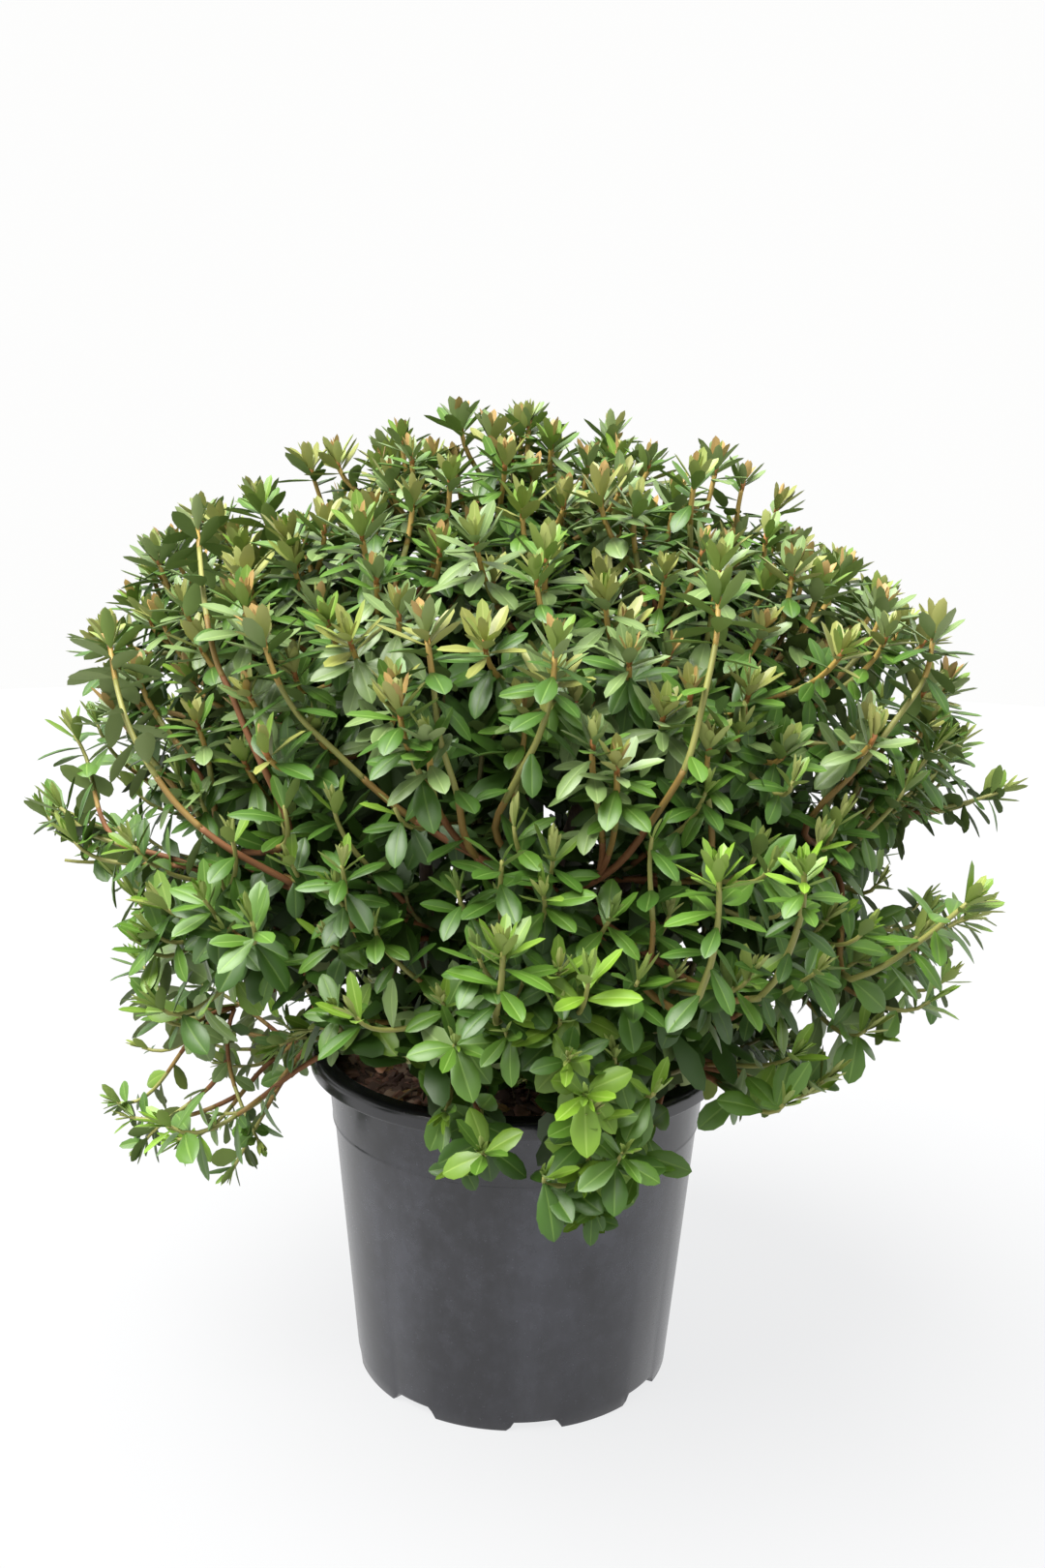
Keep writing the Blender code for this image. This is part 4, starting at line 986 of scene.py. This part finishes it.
class Shoot:
    """A twig that ends in leaves: its line and radii, and is it an inner one or a long bare one."""

    def __init__(self, line, radii, inner, tint, bare=False):
        self.line = line
        self.radii = radii
        self.inner = inner
        self.tint = tint
        self.bare = bare
        steps = [(b - a).length for a, b in zip(line, line[1:])]
        self.to_tip = [sum(steps[i:]) for i in range(len(line))]
        self.direction = (line[-1] - CROWN_MIDDLE).normalized()

    def back_from_tip(self, distance):
        """Point and direction at a distance from the tip."""
        distance = min(distance, self.to_tip[0] * 0.98)
        for i in range(len(self.line) - 1, 0, -1):
            if self.to_tip[i - 1] >= distance:
                a, b = self.line[i - 1], self.line[i]
                share = (distance - self.to_tip[i]) / (self.to_tip[i - 1] - self.to_tip[i])
                return b.lerp(a, share), (b - a).normalized()
        return self.line[0], (self.line[1] - self.line[0]).normalized()


def through(points, steps):
    """A smooth line through the points (Catmull-Rom)."""
    line = []
    ends = [points[0] * 2 - points[1], *points, points[-1] * 2 - points[-2]]
    for a, b, c, d in zip(ends, ends[1:], ends[2:], ends[3:]):
        for i in range(steps):
            t = i / steps
            bent = (a * 2 - b * 5 + c * 4 - d) * t * t + (b * 3 - a - c * 3 + d) * t**3
            line.append((b * 2 + (c - a) * t + bent) * 0.5)
    return line + [points[-1]]


def grow_mass(name, tips):
    """A mass's stem and its shoots, the long bare ones first and then the nearest tips."""
    line, _, tip_radius = boughs[carriers[name]]
    heading = (line[-1] - line[-2]).normalized()
    root = line[-1] - heading * STEM_SINK
    hub = (line[-1] + heading * STEM_STRAIGHT).lerp(middles[name], HUB_PLACE)
    stem = curve_between(root, heading, hub, hub - root, TWIG_RINGS)
    hub_radius = tip_radius * STEM_TAPER
    hub_heading = (hub - stem[-3]).normalized()
    # a joint is its place, the way back to the hub, its radius and its direction
    joints = [(hub, 0.0, hub_radius, hub_heading), (stem[STEM_JOINT], 0.0, tip_radius * 0.9, heading)]
    shoots = []
    for tint, *places in LONG_SHOOTS:
        places = [Vector(place) for place in places]
        if owner(places[0]) == name:
            leaving = (places[0] - hub).normalized() + hub_heading
            ahead = places[1] - places[0]
            line = curve_between(hub, leaving, places[0], ahead, LONG_FOOT_RINGS, LONG_FOOT_BEND)[:-1]
            line += through(places, LONG_STEPS)
            radii = list(np.linspace(LONG_FOOT_RADIUS, LONG_TIP_RADIUS, len(line)))
            shoots.append(Shoot(line, radii, False, tint, bare=True))
            joint = line[LONG_JOINT]
            turned = (line[LONG_JOINT + 1] - line[LONG_JOINT - 1]).normalized()
            joints.append((joint, (joint - hub).length, LONG_FOOT_RADIUS, turned))
    for target, axis, inner, tint in sorted(tips, key=lambda tip: (tip[0] - hub).length):
        length = INNER_LENGTH if inner else OUTER_LENGTH

        def cost(joint):
            way = target - joint[0]
            turn = 1.0 - way.normalized().dot(axis)
            return abs(way.length - length) + PATH_WEIGHT * joint[1] + TURN_WEIGHT * turn

        point, way, radius, heading = min(joints, key=cost)
        leaving = heading + (target - point).normalized() * TWIG_PULL
        line = curve_between(point, leaving, target, axis, TWIG_RINGS, TWIG_BEND)
        if not all(clear_of_pot(place, POT_CLEARANCE) and in_box(place, TIP_MARGIN * 2) for place in line):
            continue
        if tint is None and not all(in_outline(place, 0.0) for place in line):
            continue
        stout = not inner and (target - CROWN_MIDDLE).normalized().z >= TOP_FROM
        end = TOP_TIP_RADIUS if stout else TIP_RADIUS
        foot = max(radius * TWIG_FOOT, LEAST_FOOT, end * FOOT_TO_TIP)
        shares = [(1.0 - i / (TWIG_RINGS - 1)) ** TWIG_TAPER for i in range(TWIG_RINGS)]
        radii = [end + (foot - end) * share for share in shares]
        shoot = Shoot(line, radii, inner, tint)
        shoots.append(shoot)
        for i in JOINT_RINGS:
            if inner or shoot.to_tip[i] > BARE_END:
                turned = (line[i + 1] - line[i]).normalized()
                joints.append((line[i], way + shoot.to_tip[0] - shoot.to_tip[i], radii[i], turned))
    return [(stem, np.linspace(tip_radius, hub_radius, TWIG_RINGS))], shoots


def part_of(shoot, far, near):
    """The stretch of a shoot between two distances from its tip, as a line with radii."""
    far = min(far, shoot.to_tip[0])
    if far - near < 0.002:
        return None
    marks = [d for d in shoot.to_tip if near < d < far]
    points, radii = [], []
    for distance in [far] + marks + [near]:
        points.append(shoot.back_from_tip(distance)[0])
        radii.append(float(np.interp(distance, shoot.to_tip[::-1], shoot.radii[::-1])))
    return points, radii


tips = {name: [] for name in names}
for place, azimuth, rise, tint in LOOSE_SHOOTS:
    axis = on_sphere(azimuth, rise)
    point = Vector(place) - axis * LEAF_SET_BACK
    tips[owner(point)].append((point, axis, False, tint))
plan_tips(tips, OUTER_SHOOTS, OUTER_LAYERS)
plan_tips(tips, INNER_SHOOTS, INNER_LAYERS)
stems = []
shoots = []
for name in names:
    more_stems, more_shoots = grow_mass(name, tips[name])
    stems += more_stems
    shoots += more_shoots

TWIGS = {
    # name: sides, colour, roughness
    "twigs_red_brown": (6, (0.158, 0.064, 0.020), 0.72),
    "shoots_inner": (4, (0.120, 0.110, 0.030), 0.60),
    "shoots_turning": (6, (0.205, 0.128, 0.030), 0.62),
    "shoots_green": (6, (0.215, 0.215, 0.055), 0.55),
    "shoots_amber": (6, (0.325, 0.215, 0.050), 0.55),
    "shoots_red": (6, (0.300, 0.120, 0.035), 0.55),
}
wood = {name: [] for name in TWIGS}
wood["twigs_red_brown"] += stems
for shoot in shoots:
    green = LONG_GREEN_LENGTH if shoot.bare else GREEN_LENGTH
    stretches = [("twigs_red_brown", 9.0, green - LAP)]  # from further than any foot
    if shoot.inner:
        stretches += [("shoots_inner", green, 0.0)]
    else:
        turned = green * TURNING_FROM
        stretches += [("shoots_turning", green, turned - LAP)]
        if shoot.direction.z > TOP_FROM:
            stretches += [("shoots_green", turned, AMBER_LENGTH - LAP)]
            stretches += [("shoots_amber", AMBER_LENGTH, RED_LENGTH - LAP)]
            stretches += [("shoots_red", RED_LENGTH, 0.0)]
        else:
            stretches += [("shoots_green", turned, 0.0)]
    for name, far, near in stretches:
        wood[name].append(part_of(shoot, far, near))
for name, (sides, colour, roughness) in TWIGS.items():
    mesh = draw_tubes(name, [line for line in wood[name] if line], sides)
    piece = add_piece(name, mesh, Finish(name, colour, roughness, IOR=1.45))
    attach(piece, "root")
    if name == "twigs_red_brown":
        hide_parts(*[f"foliage_{mass}" for mass in names])

# ------------------------------------------------------------------------------ leaves
# Small evergreen leaves, broadest past the middle, leathery and glossy, with a paler midrib
# and a dull underside.  Each shoot ends in a tuft of upright young leaves over a ring of
# spreading ones, and older leaves hang along the stem below.  Tints are dealt out by shoot.
# The older leaves' tints go by where a shoot points, as painted light and shade.
LEAF_LENGTH = 0.033
LEAF_WIDTH = 0.0136
LEAF_THICKNESS = 0.00045
MIDRIB_HALF = 0.075  # of the leaf's half width
BLADE, MIDRIB, UNDERSIDE = 0, 1, 2
FULL_ROWS = (0.0, 0.12, 0.34, 0.58, 0.79, 0.93, 1.0)
SHORT_ROWS = (0.0, 0.22, 0.56, 0.88, 1.0)


def leaf_width(share):
    """Half width at a share of the length, 1 at its broadest."""
    to_base, to_tip = 1.20, 0.78
    broadest = to_base / (to_base + to_tip)
    return share**to_base * (1.0 - share) ** to_tip / (broadest**to_base * (1.0 - broadest) ** to_tip)


def leaf_pattern(rows, columns, curl, cup, width=1.0, sway=0.0, under=(-1.0, 0.0, 1.0)):
    """A leaf along +X with its upper side up: a shaped grid, and a plainer one as underside."""
    bm = bmesh.new()
    half = LEAF_WIDTH * width / 2
    for sides, sink, up in ((columns, 0.0, True), (under, LEAF_THICKNESS, False)):
        made = bmesh.ops.create_grid(bm, x_segments=len(rows) - 1, y_segments=len(sides) - 1, size=0.5)
        across = {}
        for point in made["verts"]:
            share = rows[round((point.co.x + 0.5) * (len(rows) - 1))]
            side = sides[round((point.co.y + 0.5) * (len(sides) - 1))]
            wide = half * leaf_width(share)
            rise = cup * wide * abs(side) ** 1.4 + 0.16 * wide * math.sin(math.pi * abs(side))
            rise -= sink * (abs(side) < 1.0 and 0.0 < share < 1.0)
            sideways = side * wide + sway * LEAF_LENGTH * share**2
            point.co = (LEAF_LENGTH * share, sideways, rise - curl * LEAF_LENGTH * share**2)
            across[point] = side
        for face in {face for point in made["verts"] for face in point.link_faces}:
            face.normal_update()
            if (face.normal.z > 0.0) != up:
                face.normal_flip()
            middle = all(abs(across[point]) < 0.2 for point in face.verts)
            face.material_index = (MIDRIB if middle else BLADE) if up else UNDERSIDE
    bmesh.ops.remove_doubles(bm, verts=bm.verts, dist=0.000002)
    return Pattern(bm)


FULL_COLUMNS = (-1.0, -0.52, -MIDRIB_HALF, MIDRIB_HALF, 0.52, 1.0)
PLAIN_COLUMNS = (-1.0, -MIDRIB_HALF * 1.3, MIDRIB_HALF * 1.3, 1.0)
EDGE_COLUMNS = (-1.0, 0.0, 1.0)
LEAF_SHAPES = (
    # curl and cup in shares of the length and width, width to the usual one, sway of the tip
    (0.10, 0.10, 1.0, 0.0),
    (0.20, 0.05, 1.08, 0.05),
    (0.03, 0.24, 0.92, -0.05),
    (0.30, -0.05, 1.0, 0.03),
)
YOUNG_SHAPES = ((-0.06, 0.22, 0.82), (0.06, 0.26, 0.74), (-0.12, 0.20, 0.90))
NARROW_SHAPES = ((-0.10, 0.60, 0.46), (0.02, 0.70, 0.40), (-0.16, 0.50, 0.54))
INNER_SHAPES = ((0.15, -0.14, 1.05), (0.25, -0.10, 1.15))
BROAD = 1.22  # low leaves, to the width of the others
BROAD_SHAPES = [(curl, cup, width * BROAD, sway) for curl, cup, width, sway in LEAF_SHAPES]
full_leaves = [leaf_pattern(FULL_ROWS, FULL_COLUMNS, *shape) for shape in LEAF_SHAPES]
plain_leaves = [leaf_pattern(FULL_ROWS, PLAIN_COLUMNS, *shape) for shape in LEAF_SHAPES]
broad_leaves = [leaf_pattern(FULL_ROWS, FULL_COLUMNS, *shape) for shape in BROAD_SHAPES]
young_leaves = [leaf_pattern(SHORT_ROWS, PLAIN_COLUMNS, *shape) for shape in YOUNG_SHAPES]
narrow_leaves = [leaf_pattern(SHORT_ROWS, EDGE_COLUMNS, *shape) for shape in NARROW_SHAPES]
inner_leaves = [leaf_pattern(SHORT_ROWS, EDGE_COLUMNS, *shape, under=(-1.0, 1.0)) for shape in INNER_SHAPES]
TINTS = {
    # name: blade, midrib, underside, roughness, coat; undersides are paler than the blade as leaves'
    # undersides are, and paler still as painted light shining through the leaves
    "shade": ((0.021, 0.047, 0.005), (0.030, 0.060, 0.008), (0.042, 0.066, 0.011), 0.52, 0.0),
    "deep": ((0.027, 0.071, 0.007), (0.062, 0.118, 0.020), (0.084, 0.130, 0.030), 0.42, 0.06),
    "forest": ((0.038, 0.096, 0.009), (0.082, 0.156, 0.026), (0.098, 0.152, 0.034), 0.42, 0.08),
    "green": ((0.060, 0.136, 0.012), (0.112, 0.202, 0.034), (0.150, 0.216, 0.050), 0.43, 0.10),
    # sage, olive and bronze are painted lighter than the leaves' own colour, as painted light on the top of
    # the crown, and sage's grey-green is partly the leaves' own and partly a painted sheen
    "sage": ((0.120, 0.186, 0.055), (0.180, 0.256, 0.088), (0.212, 0.268, 0.106), 0.42, 0.22),
    "olive": ((0.190, 0.206, 0.046), (0.248, 0.262, 0.074), (0.300, 0.300, 0.096), 0.42, 0.14),
    "fresh": ((0.108, 0.196, 0.017), (0.170, 0.264, 0.042), (0.215, 0.280, 0.062), 0.43, 0.10),
    "lime": ((0.130, 0.240, 0.018), (0.190, 0.305, 0.044), (0.205, 0.290, 0.060), 0.45, 0.08),
    "apple": ((0.215, 0.268, 0.058), (0.275, 0.325, 0.088), (0.320, 0.352, 0.112), 0.44, 0.10),
    "bronze": ((0.325, 0.212, 0.068), (0.362, 0.236, 0.082), (0.375, 0.252, 0.094), 0.44, 0.10),
}
finishes = {
    name: [
        Finish(
            f"{name}_leaf", blade, roughness, IOR=1.42, Coat_Weight=coat, Coat_Roughness=0.42,
            Sheen_Weight=coat * 0.5, Sheen_Roughness=0.35,
        ),
        Finish(f"{name}_midrib", midrib, roughness + 0.08, IOR=1.42),
        Finish(f"{name}_underside", underside, 0.62, IOR=1.40),
    ]
    for name, (blade, midrib, underside, roughness, coat) in TINTS.items()
}
leaves = {name: [] for name in TINTS}
LOW_BELOW = -0.08  # height of a shoot's direction below which its leaves are broad and hang
HEM_BELOW = -0.42  # and below which they are small and a paler green: painted light
HEM_SIZE = 0.74
PALE_SIDES_FROM = 0.30  # to the side in a shoot's direction: low leaves are a paler green, painted light for the light they get from below and through the leaves
LIT_SIDES_FROM = 0.6  # and higher ones a lighter green: painted light on the sides
OLDEST_AT = 0.95  # of a shoot's length from its tip, where its leaves end at the latest
LEAF_INTO_STEM = 0.0004
BARE_TIP = 0.012  # a long shoot's stretch within its tuft of leaves
MARK_STEP = 0.003
TOP_WHORLS = (
    # shapes, leaves, first distance from the tip, step, spread from the stem, size, droop
    (narrow_leaves, 4, 0.000, 0.0005, (3.0, 18.0), (0.40, 0.58), 0.0),
    (young_leaves, 3, 0.002, 0.0006, (14.0, 34.0), (0.55, 0.76), 0.0),
    (young_leaves, 6, 0.0035, 0.0008, (26.0, 52.0), (0.66, 0.90), 0.0),
    (young_leaves, 5, 0.008, 0.0012, (46.0, 74.0), (0.84, 1.06), 0.04),
    (full_leaves, 6, 0.014, 0.0034, (62.0, 94.0), (0.88, 1.12), 0.16),
    (full_leaves, 5, 0.034, 0.0100, (62.0, 104.0), (0.84, 1.10), 0.42),
    (inner_leaves, 7, 0.085, 0.0120, (50.0, 110.0), (0.95, 1.25), 0.20),
)
LOW_WHORLS = (
    (narrow_leaves, 6, 0.000, 0.0006, (4.0, 28.0), (0.50, 0.80), 0.0),
    (young_leaves, 3, 0.004, 0.0012, (34.0, 60.0), (0.78, 1.00), 0.05),
    (broad_leaves, 4, 0.009, 0.0035, (55.0, 90.0), (0.90, 1.15), 0.35),
    (broad_leaves, 4, 0.026, 0.0105, (55.0, 100.0), (0.95, 1.18), 0.60),
    (broad_leaves, 3, 0.067, 0.0130, (55.0, 100.0), (0.90, 1.15), 0.60),
    (inner_leaves, 6, 0.110, 0.0120, (50.0, 110.0), (0.95, 1.25), 0.20),
)
SIDE_WHORLS = (
    (narrow_leaves, 6, 0.000, 0.0006, (4.0, 28.0), (0.50, 0.80), 0.0),
    (young_leaves, 3, 0.004, 0.0012, (30.0, 56.0), (0.76, 0.98), 0.0),
    (full_leaves, 4, 0.009, 0.0035, (50.0, 82.0), (0.85, 1.10), 0.15),
    (broad_leaves, 4, 0.026, 0.0105, (55.0, 95.0), (0.88, 1.12), 0.42),
    (plain_leaves, 4, 0.067, 0.0110, (55.0, 100.0), (0.85, 1.12), 0.40),
    (inner_leaves, 6, 0.110, 0.0120, (50.0, 110.0), (0.95, 1.25), 0.20),
)
BARE_WHORL = (broad_leaves, 5, 0.088, 0.0200, (55.0, 100.0), (0.80, 1.08), 0.45)
INNER_WHORLS = (
    (inner_leaves, 4, 0.000, 0.0006, (15.0, 50.0), (0.80, 1.05), 0.0),
    (inner_leaves, 4, 0.006, 0.0015, (55.0, 90.0), (1.05, 1.35), 0.1),
    (inner_leaves, 10, 0.016, 0.0100, (55.0, 105.0), (1.10, 1.50), 0.3),
)


def bare_stem_marks():
    """Places along the long bare shoots in the camera's view, and how far off each lies."""
    marks = []
    for shoot in shoots:
        if shoot.bare:
            for i in range(int((shoot.to_tip[LONG_JOINT + 1] - BARE_TIP) / MARK_STEP)):
                point, _ = shoot.back_from_tip(BARE_TIP + MARK_STEP * i)
                marks.append((*in_view(point), (camera.location - point).length))
    return np.array(marks)


bare_marks = bare_stem_marks()


def hides_stem(points):
    """Whether any of the points lies before a long bare shoot in the camera's view."""
    for point in points:
        x, y = in_view(point)
        near = (bare_marks[:, 0] - x) ** 2 + (bare_marks[:, 1] - y) ** 2 < STEM_ROOM**2
        if np.any(near & (bare_marks[:, 2] > (camera.location - point).length)):
            return True
    return False


def leaf_place(root, axis, turn, spread, size, droop, bare):
    """Where a leaf sits that leaves a stem at an angle, its upper side to the tip and the sky."""
    side = Matrix.Rotation(turn, 3, axis) @ axis.orthogonal().normalized()
    along = axis * math.cos(spread) + side * math.sin(spread)
    along = (along - UP * droop).normalized()
    upper = axis + UP * 0.8 + Vector(rng.uniform(-0.30, 0.30, 3))
    rotation = frame_of(along, upper)
    tip = root + along * LEAF_LENGTH * size
    half_way = root + along * LEAF_LENGTH * size * 0.5
    if not (in_box(tip, TIP_MARGIN) and in_box(half_way, BLADE_MARGIN)):
        return None
    if not (clear_of_pot(tip, TIP_MARGIN) and clear_of_pot(half_way, TIP_MARGIN)):
        return None
    if not (in_outline(tip, LEAF_SLACK) and in_outline(half_way, LEAF_SLACK / 2)):
        return None
    over_stem = not bare and hides_stem((root.lerp(tip, 0.25), half_way, root.lerp(tip, 0.8)))
    if over_stem and rng.uniform() < STEM_CLEARED:
        return None
    return place_matrix(rotation, (size, size, size), root - along * LEAF_INTO_STEM)


def deal(*choices):
    """One of the names, by its share."""
    names, shares = choices[::2], choices[1::2]
    return str(rng.choice(names, p=shares))


def whorls_and_tints(shoot):
    """A shoot's whorls, each with its tint, from the youngest leaves to the oldest; the older leaves' tints
    go by where the shoot points, as painted light and shade.
    """
    if shoot.inner:
        # inner leaves get dark tints: painted shade inside the crown
        return zip(INNER_WHORLS, ("forest", "deep", "shade"))
    height, aside = shoot.direction.z, abs(shoot.direction.x)
    if height > TOP_FROM:
        # older leaves on top get lighter greens: painted light from above
        mature = deal("forest", 0.28, "green", 0.32, "sage", 0.40)
        bud = shoot.tint or deal("apple", 0.65, "bronze", 0.20, "fresh", 0.15)
        red = deal("bronze", 0.52, "olive", 0.30, "apple", 0.18)
        outer = deal("olive", 0.32, "apple", 0.14, "fresh", 0.24, "sage", 0.30)
        ring = deal("olive", 0.22, "green", 0.38, "sage", 0.40)
        tints = (bud, red, outer, ring, mature, mature, mature if shoot.bare else "shade")
        return zip((*TOP_WHORLS[:-1], BARE_WHORL) if shoot.bare else TOP_WHORLS, tints)
    if height < HEM_BELOW or height < 0.0 and aside > PALE_SIDES_FROM:
        # low at the sides and at the hem, paler greens: painted light from below and through the leaves
        mature = deal("green", 0.22, "fresh", 0.42, "sage", 0.36)
        bud = shoot.tint or deal("fresh", 0.45, "apple", 0.35, "lime", 0.20)
    elif height < 0.0:
        # low at the front and back, darker greens: painted shade under the crown
        mature = deal("deep", 0.20, "forest", 0.42, "green", 0.38)
        bud = shoot.tint or deal("fresh", 0.60, "apple", 0.30, "lime", 0.10)
    else:
        lit = aside > LIT_SIDES_FROM
        # in the middle, dark greens where the top overhangs: painted shade; lighter greens at the sides:
        # painted light
        mature = deal("forest", 0.50, "green", 0.50) if lit else deal("deep", 0.62, "forest", 0.38)
        bud = shoot.tint or deal("fresh", 0.50, "apple", 0.42, "green", 0.08)
    near = {"lime": "lime", "apple": "fresh", "fresh": "green", "green": "green", "bronze": "olive"}[bud]
    if shoot.bare:
        return zip((*TOP_WHORLS[:-1], BARE_WHORL), (bud, bud, near, near, "green", mature, mature))
    whorls = LOW_WHORLS if height < LOW_BELOW else SIDE_WHORLS
    if shoot.tint == "lime":
        return zip(whorls, ("lime", "lime", "lime", "fresh", mature, "shade"))
    if height < 0.0:
        outer = deal("fresh", 0.12, "green", 0.50, "forest", 0.38)
    else:
        outer = deal("green", 0.40, "forest", 0.60)
    return zip(whorls, (bud, near, outer, mature, mature, "shade"))


for shoot in shoots:
    turn = rng.uniform(0.0, 2.0 * math.pi)
    vigour = rng.uniform(0.84, 1.14) * (HEM_SIZE if shoot.direction.z < HEM_BELOW else 1.0)
    for whorl, tint in whorls_and_tints(shoot):
        patterns, count, first, step, spreads, sizes, droop = whorl
        for i in range(count):
            turn += GOLDEN_ANGLE
            distance = first + step * i
            if distance > shoot.to_tip[0] * OLDEST_AT:
                break
            root, axis = shoot.back_from_tip(distance)
            spread = math.radians(rng.uniform(*spreads))
            place = leaf_place(root, axis, turn, spread, vigour * rng.uniform(*sizes), droop, shoot.bare)
            if place is not None:
                leaves[tint].append((patterns[int(rng.integers(len(patterns)))], place))
for name, pairs in leaves.items():
    for piece in join_copies(f"leaves_{name}", pairs, *finishes[name]):
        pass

# Fallen leaves and dry twigs on the growing medium.
# painted lighter than fallen leaves are: painted light in the crown's shade
fallen_finishes = [
    Finish("fallen_leaf", (0.680, 0.420, 0.150), 0.7),
    Finish("fallen_leaf_midrib", (0.500, 0.300, 0.120), 0.7),
    Finish("fallen_leaf_underside", (0.400, 0.230, 0.090), 0.8),
]
fallen = []
for i in range(FALLEN_LEAVES):
    size = rng.uniform(0.6, 1.0)
    spot = place_matrix(frame_of(*random_tilt(0.35)), (size, size, size), on_medium(0.03) + UP * 0.003)
    fallen.append((plain_leaves[i % len(plain_leaves)], spot))
for piece in join_copies("fallen_leaves", fallen, *fallen_finishes):
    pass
litter = []
for _ in range(DRY_TWIGS):
    middle = on_medium(0.035) + UP * 0.004
    along, _ = random_tilt(0.15)
    half = along * rng.uniform(0.010, 0.028)
    bow = Vector((0.0, 0.0, 0.003))
    litter.append(([middle - half, middle + bow, middle + half], (0.0007, 0.0008, 0.0005)))
dry_twig = Finish("dry_twig", (0.34, 0.25, 0.16), 0.8)
dry_twigs = add_piece("dry_twigs", draw_tubes("dry_twigs", litter, 6), dry_twig)
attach(dry_twigs, "root")
